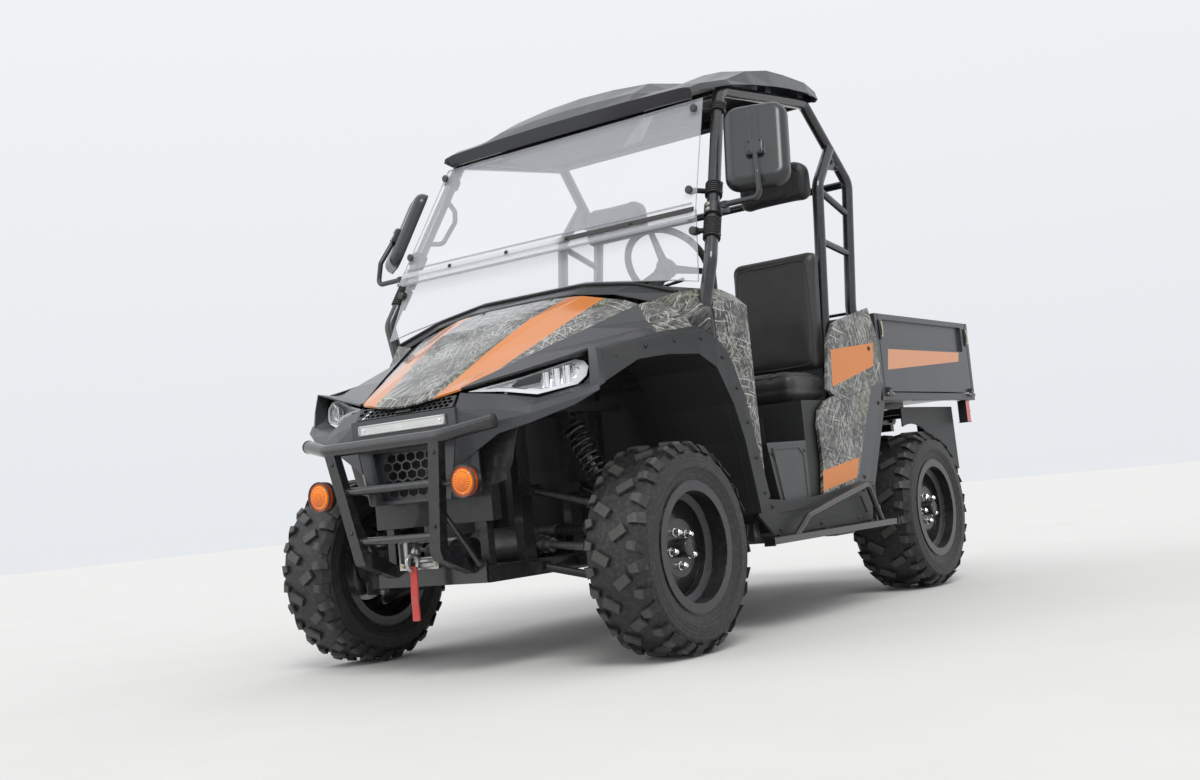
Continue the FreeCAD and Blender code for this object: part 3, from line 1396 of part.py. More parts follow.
def bed():
    """The tipping bed's floor, headboard, hinge lugs and the pins for its sides and gate."""
    half = BED_HALF
    pieces = [box(-half, half, BED_FRONT_Y, BED_REAR_Y, BED_Z0, BED_Z0 + BED_FLOOR_T)]
    pieces.append(box(-half, half, BED_FRONT_Y, BED_FRONT_Y + BED_WALL_T, BED_Z0, BED_TOP_Z))
    for side in (1, -1):
        low, high = sorted((side * 400, side * 430))
        pieces.append(box(low, high, 620, 1400, 780, BED_Z0))
        low, high = sorted((side * (half - 26), side * half))
        pieces.append(box(low, high, BED_FRONT_Y, BED_REAR_Y, BED_Z0 - 16, BED_Z0))
        low, high = sorted((side * 353, side * 363))
        lug = [(1396, BED_Z0), (1412, 724), (1448, 724), (1464, BED_Z0)]
        pieces.append(prism(lug, "x", low, high))
        x = side * SIDE_PIN_X
        for y0, y1 in ((610, 640), (1518, 1548)):
            pieces.append(rod((x, y0 - 4, PIN_Z), (x, y1 + 4, PIN_Z), 4.0))
            for y in (y0 - 8, y1 + 2):
                low, high = sorted((side * (half - 4), side * (SIDE_PIN_X + 6)))
                pieces.append(box(low, high, y, y + 6, BED_Z0, PIN_Z + 4))
    for x0 in (-560, 530):
        pieces.append(rod((x0 - 4, GATE_PIN_Y, PIN_Z), (x0 + 34, GATE_PIN_Y, PIN_Z), 4.0))
        for x in (x0 - 8, x0 + 32):
            pieces.append(box(x, x + 6, BED_REAR_Y - 4, GATE_PIN_Y + 6, BED_Z0, PIN_Z + 4))
    bores = [
        rod((x, BED_HINGE_Y, BED_HINGE_Z), (x + 30, BED_HINGE_Y, BED_HINGE_Z), 10 + CLEAR)
        for x in (345, -375)
    ]
    return fuse(pieces).cut(bores)


def bed_side():
    """The left drop side with its pressed recess and hinge eyes."""
    y0, y1 = BED_FRONT_Y + BED_WALL_T + MOVING_GAP, BED_REAR_Y - BED_WALL_T - MOVING_GAP
    x0, x1 = BED_HALF - BED_WALL_T, BED_HALF
    panel = box(x0, x1, y0, y1, BED_Z0 + BED_FLOOR_T + MOVING_GAP, BED_TOP_Z)
    panel = panel.cut(box(x1 - 14, x1 + 1, 640, 1500, 1012, 1124))
    pieces = [panel]
    for low, high in ((610, 640), (1518, 1548)):
        pieces.append(rod((SIDE_PIN_X, low + 0.5, PIN_Z), (SIDE_PIN_X, high - 0.5, PIN_Z), 8.0))
        pieces.append(box(SIDE_PIN_X - 8, SIDE_PIN_X + 5, low + 0.5, high - 0.5, PIN_Z + 2, 842))
    bore = rod((SIDE_PIN_X, 590, PIN_Z), (SIDE_PIN_X, 1570, PIN_Z), 4.0 + CLEAR)
    floor_edge = box(0, BED_HALF + 0.6, 560, 1590, 800, PIN_Z + 8)
    return fuse(pieces).cut(bore).cut(floor_edge)


def tailgate():
    """The tailgate with its hinge eyes."""
    y0, y1 = BED_REAR_Y - BED_WALL_T, BED_REAR_Y
    panel = box(-BED_HALF, BED_HALF, y0, y1, BED_Z0 + BED_FLOOR_T + MOVING_GAP, BED_TOP_Z)
    panel = panel.cut(box(-640, 640, y1 - 10, y1 + 1, 880, 1096))
    pieces = [panel]
    for low in (-560, 530):
        pieces.append(rod((low + 0.5, GATE_PIN_Y, PIN_Z), (low + 29.5, GATE_PIN_Y, PIN_Z), 8.0))
        pieces.append(box(low + 0.5, low + 29.5, GATE_PIN_Y - 8, GATE_PIN_Y + 5, PIN_Z + 2, 842))
    bore = rod((-600, GATE_PIN_Y, PIN_Z), (600, GATE_PIN_Y, PIN_Z), 4.0 + CLEAR)
    floor_edge = box(-720, 720, 1500, BED_REAR_Y + 0.6, 800, PIN_Z + 8)
    return fuse(pieces).cut(bore).cut(floor_edge)


def bed_stops():
    """Rubber stops the bed rests on."""
    stops = []
    for y in (640, 1100):
        for x in (-BED_RAIL_X, BED_RAIL_X):
            stops.append(Part.makeCylinder(16, BED_Z0 - CLEAR - BED_RAIL_Z1, V(x, y, BED_RAIL_Z1)))
    return stops


def rear_lamps():
    """Lamps on brackets under the bed's rear corners."""
    lamps = []
    for side in (1, -1):
        low, high = sorted((side * 660, side * 700))
        lamps.append(box(low, high, 1478, 1520, 690, BED_Z0 - 16))
    return lamps


def mudguards():
    """Plates over and behind the rear wheels, each with a flap and two stays to the bed rails."""
    rear, low, top = REAR_AXLE_Y + 489, 482.0, BED_Z0 - 40
    outline = [(REAR_AXLE_Y - 91, low), (REAR_AXLE_Y - 91, top), (rear - 13, top), (rear, low)]
    plate = prism(outline, "x", 640, 646)
    plate = plate.cut(disc((643, REAR_AXLE_Y, AXLE_Z), (1, 0, 0), TYRE_R + MUDGUARD_GAP, 20))
    plate = plate.cut(box(630, 650, REAR_AXLE_Y - 400, REAR_AXLE_Y, low - 1, AXLE_Z + TYRE_R))
    flap = prism([(rear - 19, top), (rear - 13, top), (rear, low), (rear - 6, low)], "x", 470, 641)
    stays = [
        box(BED_RAIL_X + BED_RAIL_W / 2, 641, REAR_AXLE_Y + y, REAR_AXLE_Y + y + 32, 736, 762)
        for y in (-60, 380)
    ]
    return both_sides(fuse([plate, flap] + stays))


def hitch():
    """The square receiver under the rear."""
    tube = box(-32, 32, 1380, 1560, 218, 282).cut(box(-25.5, 25.5, 1400, 1561, 224.5, 275.5))
    plate = box(-120, 120, 1440, 1500, 276, 282)
    return fuse([tube, plate])


# Power train

def engine():
    """The engine and gearbox as plain blocks."""
    pieces = [box(-165, 165, 250, 560, 340, 640), box(-120, 120, 262, 500, 640, 700)]
    pieces.append(box(-90, 90, 239, 252, 380, 560))
    for y in (420, 484):
        pieces.append(box(-179.7, 179.7, y - 12, y + 12, 340, 366))
    pieces.append(box(-120, 120, 474, 516, RAIL_Z1 + CLEAR, 342))
    return fuse(pieces)


def radiator():
    return box(-250, 250, -1384, -1340, 470, 780)


def diff(y):
    pieces = [rod((-110, y, 378), (110, y, 378), 60), box(-50, 50, y - 22, y + 22, 312, 340)]
    return fuse(pieces)


def muffler():
    body = rod((-180, 1300, 600), (180, 1300, 600), 62)
    hangers = [box(x - 8, x + 8, 1290, BED_HINGE_Y + 10, 640, 672) for x in (-120, 120)]
    posts = [
        box(x - 8, x + 8, BED_HINGE_Y - 10, BED_HINGE_Y + 10, 640, BED_RAIL_Z0 - 32.3)
        for x in (-120, 120)
    ]
    return fuse([body] + hangers + posts)


def prop_shaft():
    return rod((0, FRONT_AXLE_Y + 40, 352), (0, 249.7, 352), 17)


def rack_housing():
    y, z = FRONT_AXLE_Y + STEER_ARM, TIE_ROD_Z
    tube = rod((-RACK_HOUSING_HALF, y, z), (RACK_HOUSING_HALF, y, z), RACK_HOUSING_R)
    pieces = [tube]
    for x in (-140, 100):
        pieces.append(box(x, x + 40, y - 14, y + 20, RAIL_Z1, z))
    bore = rod((-200, y, z), (200, y, z), RACK_R + CLEAR)
    return fuse(pieces).cut(bore)


def steering_rack():
    """The rack bar with its tie rods and ball ends, sliding as one piece."""
    y, z = FRONT_AXLE_Y + STEER_ARM, TIE_ROD_Z
    pieces = [rod((-226, y, z), (226, y, z), RACK_R)]
    for side in (1, -1):
        pieces.append(rod((side * 220, y, z), (side * FRONT_PIN_X, y, z), TIE_ROD_R))
        pieces.append(Part.makeCylinder(14, 2 * TIE_ROD_R, V(side * FRONT_PIN_X, y, z - TIE_ROD_R)))
    return fuse(pieces)


def both_arms(axle_y, pin_x):
    """Upper and lower wishbones of one axle, with the place of the shock's lower eye."""
    upper, eye = wishbone(pin_x, axle_y, AXLE_Z + PIN_REACH, UPPER_PIVOT_X, UPPER_PIVOT_Z)
    lower, _ = wishbone(pin_x, axle_y, AXLE_Z - PIN_REACH, LOWER_PIVOT_X, LOWER_PIVOT_Z)
    return both_sides(upper) + both_sides(lower), eye


def write(name, shapes):
    """One STEP file for one node."""
    shapes = shapes if isinstance(shapes, list) else [shapes]
    solids = [s for shape in shapes for s in shape.Solids]
    for s in solids:
        if not s.isValid():
            print("not valid:", name)
    whole = solids[0] if len(solids) == 1 else Part.makeCompound(solids)
    whole.exportStep(os.path.join("parts", name + ".step"))


def main():
    os.makedirs("parts", exist_ok=True)
    front_arms, front_eye = both_arms(FRONT_AXLE_Y, FRONT_PIN_X)
    rear_arms, rear_eye = both_arms(REAR_AXLE_Y, REAR_PIN_X)
    left_knuckle = knuckle(FRONT_PIN_X, FRONT_AXLE_Y, FRONT_WHEEL_X, HUB_OFFSET_FRONT, True)
    rear_upright = knuckle(REAR_PIN_X, REAR_AXLE_Y, REAR_WHEEL_X, HUB_OFFSET_REAR, False)
    left_bracket = mirror_bracket()
    left_side = bed_side()
    cage_front, cage_rear = cage()
    nodes = {
        "frame": [frame(), skid_plate()],
        "front_frame": front_frame(),
        "rear_frame": rear_frame(),
        "bumper": bumper(),
        "indicators": indicators(),
        "indicator_cases": indicator_cases(),
        "winch": winch(),
        "fairlead": fairlead(),
        "winch_hook": winch_hook(),
        "winch_strap": winch_strap(),
        "fascia": fascia(),
        "grilles": grilles(),
        "name_plate": name_plate(),
        "headlights": headlights(),
        "headlight_bodies": headlight_bezels(),
        "fenders": both_sides(fender()),
        "flares": both_sides(flare()),
        "arch_liners": both_sides(arch_liner()) + both_sides(inner_wall()),
        "hood": hood(),
        "hood_hinges": hood_hinges(),
        "cowl": cowl(),
        "dash": dash(),
        "steering_column": steering_column(),
        "steering_wheel": steering_wheel(),
        "floor": floor(),
        "seat_base": [seat_base()] + side_boxes(),
        "seats": seats(),
        "headrests": headrests(),
        "b_panels": b_panels(),
        "rear_trims": rear_trims(),
        "sills": sills(),
        "step_bars": step_bars(),
        "cage": cage_front,
        "cage_rear": cage_rear,
        "roof": [roof(), roof_console()],
        "screens": screens(5.0),
        "screen_clamps": screen_clamps(),
        "mirror_brackets": both_sides(left_bracket),
        "mirror_left": mirror(1),
        "mirror_right": mirror(-1),
        "mirror_glass_left": mirror_glass(1),
        "mirror_glass_right": mirror_glass(-1),
        "bed": bed(),
        "bed_side_left": left_side,
        "bed_side_right": mirrored(left_side),
        "tailgate": tailgate(),
        "bed_stops": bed_stops(),
        "rear_lamps": rear_lamps(),
        "mudguards": mudguards(),
        "hitch": hitch(),
        "driveline": [engine(), fuse([diff(FRONT_AXLE_Y), prop_shaft()]), diff(REAR_AXLE_Y)]
        + [radiator(), muffler(), rack_housing()]
        + both_sides(half_shaft((114.0, FRONT_AXLE_Y, 378), (FRONT_PIN_X, FRONT_AXLE_Y, AXLE_Z)))
        + both_sides(half_shaft((115.2, REAR_AXLE_Y, 378), (REAR_PIN_X + 8, REAR_AXLE_Y, AXLE_Z))),
        "suspension": front_arms + rear_arms + both_sides(rear_upright),
        "shocks": both_sides(coil_over(front_eye, SHOCK_FRONT_HEAD, SHOCK_SPRING_R))
        + both_sides(coil_over(rear_eye, SHOCK_REAR_HEAD, SHOCK_SPRING_R)),
        "steering_rack": steering_rack(),
        "knuckle_left": left_knuckle,
        "knuckle_right": mirrored(left_knuckle),
    }
    wheels = (
        ("front", FRONT_TYRE_W, FRONT_WHEEL_X, FRONT_AXLE_Y, HUB_OFFSET_FRONT, FRONT_PIN_X),
        ("rear", REAR_TYRE_W, REAR_WHEEL_X, REAR_AXLE_Y, HUB_OFFSET_REAR, REAR_PIN_X),
    )
    for end, width, x, y, offset, pin_x in wheels:
        rubber = tyre(width)
        steel = rim(width, offset)
        holes = [
            disc((offset, STUD_CIRCLE_R * math.cos(a), STUD_CIRCLE_R * math.sin(a)), (1, 0, 0), 7.3, 30)
            for a in (math.radians(45 + 360 / STUD_COUNT * i) for i in range(STUD_COUNT))
        ]
        steel = steel.cut(holes[0].multiFuse(holes[1:]))
        body, nuts = hub(offset, pin_x + 32 - x)
        for name, side in (("left", 1), ("right", -1)):
            nodes[f"wheel_{end}_{name}"] = [
                at_wheel(rubber, x, y, side),
                at_wheel(steel, x, y, side),
                at_wheel(body, x, y, side),
            ] + [at_wheel(nut, x, y, side) for nut in nuts]
    for name, shapes in nodes.items():
        write(name, shapes)


main()
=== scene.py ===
import math

import bmesh
import bpy
from mathutils import Matrix, Vector


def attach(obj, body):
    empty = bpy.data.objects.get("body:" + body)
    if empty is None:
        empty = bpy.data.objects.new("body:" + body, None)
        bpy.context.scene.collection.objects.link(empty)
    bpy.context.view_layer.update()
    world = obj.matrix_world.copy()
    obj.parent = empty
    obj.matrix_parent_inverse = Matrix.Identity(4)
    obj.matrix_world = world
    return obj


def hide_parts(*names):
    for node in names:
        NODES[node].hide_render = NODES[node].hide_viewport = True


# The dressed model of the utility vehicle: finishes for the CAD nodes, padded seats, and the
# small parts that the solids leave out. Metres, in the part's own frame.

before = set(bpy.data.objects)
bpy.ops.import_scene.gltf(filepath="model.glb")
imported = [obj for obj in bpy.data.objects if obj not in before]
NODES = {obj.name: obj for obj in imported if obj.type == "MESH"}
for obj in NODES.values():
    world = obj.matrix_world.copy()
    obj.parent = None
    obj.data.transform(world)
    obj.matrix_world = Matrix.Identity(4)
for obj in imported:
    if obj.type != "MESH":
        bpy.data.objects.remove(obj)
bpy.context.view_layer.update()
scene = bpy.context.scene

# Places that the solids share
FRONT_AXLE = (-1.040, 0.330)
REAR_AXLE = (0.960, 0.330)
FRONT_WHEEL_X = 0.661
REAR_WHEEL_X = 0.592
FRONT_HUB_FACE = 0.038
REAR_HUB_FACE = 0.080
STUD_CIRCLE = 0.055
BED_HALF = 0.705
PIN_Z = 0.814
STUD_ANGLES = [math.radians(45 + 72 * n) for n in range(5)]
# each pane leans back from a point (Y, Z) by a share of the height
UPPER_PANE = (-0.665, 1.507, 0.558)
LOWER_PANE = (-0.782, 1.166, 0.384)
MIRROR_ARM_Z = 1.432
LAMP_PLANE = (0.440, -1.343, 0.685)
INDICATOR_X, INDICATOR_Z = 0.307, 0.594
DRUM_Y, DRUM_Z = -1.350, 0.384
WHEEL_CENTRE = Vector((0.330, -0.360, 1.330))
WHEEL_LEAN = math.radians(38)
# the flare's outer edge and its edge on the arch, seen from the side, with their X
FLARE_OUTER = [
    (0.600, -1.220, 0.954), (0.648, -1.098, 0.977), (0.692, -0.975, 0.999), (0.726, -0.812, 1.015),
    (0.735, -0.749, 0.987), (0.740, -0.679, 0.922), (0.745, -0.620, 0.801), (0.750, -0.529, 0.457),
]
FLARE_INNER = [
    (0.625, -1.244, 0.857), (0.668, -1.120, 0.921), (0.704, -1.000, 0.935), (0.730, -0.862, 0.936),
    (0.740, -0.775, 0.893), (0.745, -0.699, 0.772), (0.749, -0.655, 0.650), (0.752, -0.602, 0.405),
]
PILLAR_BEND = Vector((0.736, -0.738, 1.250))
PILLAR_TOP = Vector((0.633, -0.403, 1.849))


# Shader helpers

class Shader:
    """Builds one material's node tree."""

    def __init__(self, name):
        self.material = bpy.data.materials.new(name)
        self.material.use_nodes = True
        self.tree = self.material.node_tree
        self.tree.nodes.clear()
        out = self.tree.nodes.new("ShaderNodeOutputMaterial")
        self.bsdf = self.tree.nodes.new("ShaderNodeBsdfPrincipled")
        self.tree.links.new(self.bsdf.outputs[0], out.inputs[0])
        self.place = self.tree.nodes.new("ShaderNodeTexCoord").outputs["Object"]
        self.geometry = self.tree.nodes.new("ShaderNodeNewGeometry")

    def put(self, socket, value):
        if isinstance(value, bpy.types.NodeSocket):
            self.tree.links.new(value, socket)
        elif value is not None:
            if isinstance(value, tuple) and len(value) == 3 and len(socket.default_value) == 4:
                value = (*value, 1)
            socket.default_value = value

    def set(self, **values):
        for key, value in values.items():
            self.put(self.bsdf.inputs[key.replace("_", " ")], value)
        return self

    def math(self, operation, a, b=None, c=None, clamp=False):
        node = self.tree.nodes.new("ShaderNodeMath")
        node.operation = operation
        node.use_clamp = clamp
        for socket, value in zip(node.inputs, (a, b, c)):
            self.put(socket, value)
        return node.outputs[0]

    def times(self, a, b):
        return self.math("MULTIPLY", a, b)

    def plus(self, a, b):
        return self.math("ADD", a, b)

    def minus(self, a, b):
        return self.math("SUBTRACT", a, b)

    def both(self, a, b, share):
        """Two masks at once, at a share of their strength."""
        return self.times(self.times(a, b), share)

    def distance(self, a, b):
        return self.math("SQRT", self.plus(self.times(a, a), self.times(b, b)))

    def xyz(self, vector=None):
        node = self.tree.nodes.new("ShaderNodeSeparateXYZ")
        self.put(node.inputs[0], vector if vector is not None else self.place)
        return node.outputs[0], node.outputs[1], node.outputs[2]

    def vector(self, x, y, z=0.0):
        node = self.tree.nodes.new("ShaderNodeCombineXYZ")
        for socket, value in zip(node.inputs, (x, y, z)):
            self.put(socket, value)
        return node.outputs[0]

    def mapping(self, scale=(1, 1, 1), rotation=(0, 0, 0), location=(0, 0, 0), vector=None):
        node = self.tree.nodes.new("ShaderNodeMapping")
        self.put(node.inputs[0], vector if vector is not None else self.place)
        node.inputs["Scale"].default_value = scale
        node.inputs["Rotation"].default_value = rotation
        node.inputs["Location"].default_value = location
        return node.outputs[0]

    def noise(self, scale, detail=4.0, rough=0.55, vector=None, distortion=0.0):
        node = self.tree.nodes.new("ShaderNodeTexNoise")
        self.put(node.inputs["Vector"], vector if vector is not None else self.place)
        node.inputs["Scale"].default_value = scale
        node.inputs["Detail"].default_value = detail
        node.inputs["Roughness"].default_value = rough
        node.inputs["Distortion"].default_value = distortion
        return node.outputs[0]

    def voronoi(self, scale, feature="F1", vector=None):
        node = self.tree.nodes.new("ShaderNodeTexVoronoi")
        node.feature = feature
        self.put(node.inputs["Vector"], vector if vector is not None else self.place)
        node.inputs["Scale"].default_value = scale
        return node.outputs[0]

    def ramp(self, factor, stops):
        node = self.tree.nodes.new("ShaderNodeValToRGB")
        self.put(node.inputs[0], factor)
        elements = node.color_ramp.elements
        while len(elements) < len(stops):
            elements.new(0.5)
        for element, (position, colour) in zip(elements, stops):
            element.position = position
            element.color = (*colour, 1)
        return node.outputs[0]

    def mix(self, factor, a, b):
        node = self.tree.nodes.new("ShaderNodeMix")
        node.data_type = "RGBA"
        self.put(node.inputs["Factor"], factor)
        self.put(node.inputs["A"], a)
        self.put(node.inputs["B"], b)
        return node.outputs["Result"]

    def step(self, value, edge, soft=0.0008):
        """0 below the edge and 1 above it."""
        past = self.math("DIVIDE", self.minus(value, edge), soft)
        return self.math("ADD", past, 0.5, clamp=True)

    def band(self, value, low, high, soft=0.0008):
        below = self.minus(1.0, self.step(value, high, soft))
        return self.times(self.step(value, low, soft), below)

    def polygon(self, u, v, points):
        """1 inside a convex outline, given anticlockwise in the two coordinates."""
        mask = None
        for (x0, y0), (x1, y1) in zip(points, points[1:] + points[:1]):
            size = math.hypot(x1 - x0, y1 - y0)
            nx, ny = -(y1 - y0) / size, (x1 - x0) / size
            line = self.plus(self.times(u, nx), self.times(v, ny))
            inside = self.step(line, nx * x0 + ny * y0)
            mask = inside if mask is None else self.times(mask, inside)
        return mask

    def facing_up(self, low=0.35, soft=0.5):
        return self.step(self.xyz(self.geometry.outputs["Normal"])[2], low, soft)

    def worn_edge(self, radius=0.003, low=0.02, soft=0.05):
        """1 along sharp edges, from the gap between the rounded and the true normal."""
        bevel = self.tree.nodes.new("ShaderNodeBevel")
        bevel.samples = 3
        bevel.inputs["Radius"].default_value = radius
        dot = self.tree.nodes.new("ShaderNodeVectorMath")
        dot.operation = "DOT_PRODUCT"
        self.put(dot.inputs[0], bevel.outputs[0])
        self.put(dot.inputs[1], self.geometry.outputs["Normal"])
        gap = self.minus(1.0, dot.outputs["Value"])
        return self.step(gap, low, soft), bevel.outputs[0]

    def bump(self, height, strength=0.2, distance=0.001, normal=None):
        node = self.tree.nodes.new("ShaderNodeBump")
        node.inputs["Strength"].default_value = strength
        node.inputs["Distance"].default_value = distance
        self.put(node.inputs["Height"], height)
        if normal is not None:
            self.put(node.inputs["Normal"], normal)
        self.put(self.bsdf.inputs["Normal"], node.outputs[0])
        return self


DUST = (0.16, 0.145, 0.12)


def toned(colour, share, more):
    """A paler or darker form of a colour."""
    return tuple(min(1.0, c * share + more) for c in colour)


def moulded(name, colour, rough, grain=900.0, depth=0.00035, dust=0.06, coat=0.0):
    """Moulded plastic or rubber: fine grain, uneven sheen, paler edges and a little dust on top."""
    s = Shader(name)
    patch = s.noise(5.0, 4.0, 0.6)
    edge, rounded = s.worn_edge(0.0025)
    shade = s.mix(s.times(patch, 0.55), colour, toned(colour, 1.6, 0.003))
    shade = s.mix(s.times(edge, 0.5), shade, toned(colour, 2.2, 0.010))
    if dust:
        shade = s.mix(s.both(s.facing_up(), s.noise(17.0, 5.0, 0.7), dust), shade, DUST)
    wavy = s.math("MULTIPLY_ADD", s.noise(9.0, 3.0), 0.16, rough - 0.08)
    s.set(Base_Color=shade, Roughness=wavy)
    if coat:
        s.set(Coat_Weight=coat, Coat_Roughness=0.12)
    s.bump(s.voronoi(grain), 0.35, depth, rounded)
    return s.material


def painted(name, colour, rough, metal=0.0, coat=0.3, wear=(0.15, 0.15, 0.16), dust=0.05):
    """Paint over steel: faint orange peel, scuffed edges with the metal showing through."""
    s = Shader(name)
    edge, rounded = s.worn_edge(0.002, 0.03, 0.08)
    scuff = s.times(edge, s.step(s.noise(60.0, 4.0, 0.7), 0.53, 0.12))
    shade = s.mix(s.times(s.noise(4.0, 4.0), 0.5), colour, toned(colour, 1.6, 0.003))
    shade = s.mix(s.times(scuff, 0.55), shade, wear)
    if dust:
        shade = s.mix(s.both(s.facing_up(), s.noise(21.0, 5.0, 0.7), dust), shade, DUST)
    s.set(Base_Color=shade, Metallic=metal, Coat_Weight=coat, Coat_Roughness=0.1)
    s.set(Roughness=s.math("MULTIPLY_ADD", s.noise(12.0, 3.0), 0.14, rough - 0.07))
    s.bump(s.noise(420.0, 2.0), 0.12, 0.0003, rounded)
    return s.material


def metal(name, colour, rough, brushed=(1, 1, 1), stain=0.3, scale=260.0):
    """Bare metal with brush lines along one axis and darker stains."""
    s = Shader(name)
    lines = s.noise(scale, 3.0, 0.6, vector=s.mapping(scale=brushed))
    spots = s.times(s.step(s.noise(16.0, 5.0, 0.7), 0.5, 0.3), stain)
    shade = s.mix(spots, colour, toned(colour, 0.45, 0))
    s.set(Base_Color=shade, Metallic=1.0, Roughness=s.math("MULTIPLY_ADD", lines, 0.22, rough - 0.08))
    return s.bump(lines, 0.12, 0.0002).material


def webbing(name, colour, pitch=0.0016):
    """Woven strap: a twill across the width with paler worn threads."""
    s = Shader(name)
    x, y, z = s.xyz()
    along = s.plus(s.plus(y, z), s.times(x, 0.4))
    across = s.minus(x, s.times(s.plus(y, z), 0.5))
    twist = 2 * math.pi / pitch
    weave = s.times(s.math("SINE", s.times(along, twist)), s.math("SINE", s.times(across, twist)))
    worn = s.times(s.step(weave, 0.2, 0.8), s.noise(40.0, 3.0))
    shade = s.mix(worn, colour, toned(colour, 1.5, 0.03))
    shade = s.mix(s.times(s.step(s.noise(25.0, 4.0, 0.7), 0.55, 0.2), 0.3), shade, DUST)
    return s.set(Base_Color=shade, Roughness=0.8, Sheen_Weight=0.3).bump(weave, 0.5, 0.0004).material


def leathercloth(name, colour):
    """Coated seat fabric: pebbled grain with soft creases and a sheen on the worn places."""
    s = Shader(name)
    pebble = s.voronoi(620.0, "DISTANCE_TO_EDGE")
    crease = s.noise(9.0, 4.0, 0.55, distortion=0.3)
    shade = s.mix(s.step(crease, 0.5, 0.5), colour, toned(colour, 1.5, 0.002))
    shade = s.mix(s.both(s.facing_up(), s.noise(13.0, 4.0), 0.12), shade, DUST)
    height = s.plus(s.times(pebble, 0.9), s.times(crease, 0.5))
    s.set(Base_Color=shade, Roughness=s.math("MULTIPLY_ADD", crease, 0.2, 0.34), Sheen_Weight=0.08)
    return s.bump(height, 0.35, 0.0007).material


def clear_plastic(name, tint, alpha, rough=0.02, haze=0.0):
    """See-through plastic; haze adds a little uneven bloom."""
    s = Shader(name)
    s.set(Base_Color=tint, Roughness=rough, IOR=1.45, Specular_IOR_Level=0.5)
    cloud = s.noise(2.6, 4.0, 0.6)
    return s.set(Alpha=s.math("MULTIPLY_ADD", cloud, haze, alpha)).material


def joint_rubber():
    """The seal between the panes: black at the driver's end, lost in the screen's glare elsewhere."""
    s = Shader("joint rubber")
    black = s.step(s.xyz()[0], 0.11, 0.06)
    s.set(Base_Color=s.mix(black, (0.62, 0.64, 0.68), (0.016, 0.015, 0.014)), Roughness=0.3)
    s.set(Alpha=s.math("MULTIPLY_ADD", black, 0.6, 0.4))
    return s.bump(s.noise(300.0, 3.0), 0.15, 0.0004).material


def amber_lens():
    """Amber cover: facets round the middle, a ribbed reflector behind and a darker edge."""
    s = Shader("amber lens")
    x, y, z = s.xyz()
    u, w = s.minus(s.math("ABSOLUTE", x), INDICATOR_X), s.minus(z, INDICATOR_Z)
    r = s.distance(u, w)
    facet = s.math("SINE", s.times(s.math("ARCTAN2", w, u), 22.0))
    # painted highlight: the facets are drawn lit, brighter towards the top
    bright = s.step(s.plus(facet, s.times(w, 30.0)), 0.1, 1.3)
    lit = s.times(s.band(r, 0.0, 0.030, 0.006), bright)
    shade = s.mix(lit, (0.30, 0.040, 0.0008), (0.88, 0.23, 0.004))
    shade = s.mix(s.band(r, 0.032, 0.037, 0.003), shade, (0.80, 0.26, 0.012))
    s.set(Base_Color=shade, Roughness=0.16, Coat_Weight=0.25, Coat_Roughness=0.03, Specular_IOR_Level=0.3)
    s.set(Emission_Color=shade, Emission_Strength=0.28)
    return s.bump(facet, 0.3, 0.0008).material


def lens(name, colour, glow=0.25, ribs=260.0):
    """A coloured lamp lens with fine moulded ribs and pale light inside."""
    s = Shader(name)
    x, y, z = s.xyz()
    rib = s.math("SINE", s.times(x, 2 * math.pi * ribs))
    inner = s.step(s.plus(rib, s.noise(60.0, 2.0)), 0.9, 1.6)
    shade = s.mix(s.times(inner, 0.5), colour, toned(colour, 1.4, 0.02))
    s.set(Base_Color=shade, Roughness=0.12, Coat_Weight=0.8, Coat_Roughness=0.03)
    s.set(Emission_Color=colour, Emission_Strength=glow, Subsurface_Weight=0.2, Subsurface_Scale=0.01)
    return s.bump(rib, 0.3, 0.0006).material


ORANGE = (0.60, 0.175, 0.012)
SALMON = (0.65, 0.27, 0.115)
CAMO_BASE = [
    (0.34, (0.005, 0.005, 0.005)), (0.48, (0.018, 0.018, 0.017)),
    (0.57, (0.065, 0.066, 0.063)), (0.72, (0.150, 0.151, 0.145)),
]
GRASS = [
    # turn in degrees, blades per metre along and across, threshold, colour
    (24, 24, 85, 0.585, (0.085, 0.087, 0.080)),
    (-66, 16, 70, 0.575, (0.004, 0.004, 0.004)),
    (82, 26, 95, 0.60, (0.150, 0.152, 0.145)),
    (-28, 18, 80, 0.585, (0.005, 0.005, 0.005)),
    (48, 28, 110, 0.615, (0.240, 0.242, 0.232)),
    (-8, 26, 100, 0.62, (0.165, 0.155, 0.115)),
    (100, 30, 120, 0.635, (0.340, 0.342, 0.330)),
    (68, 6, 140, 0.655, (0.300, 0.300, 0.260)),
    (-48, 5, 150, 0.67, (0.420, 0.420, 0.370)),
    (12, 4, 170, 0.69, (0.500, 0.500, 0.440)),
]
# near-black: the bark of the print, and the painted shade along the side panel's pressed line
BARK_AND_CREASE_SHADE = (0.006, 0.006, 0.006)


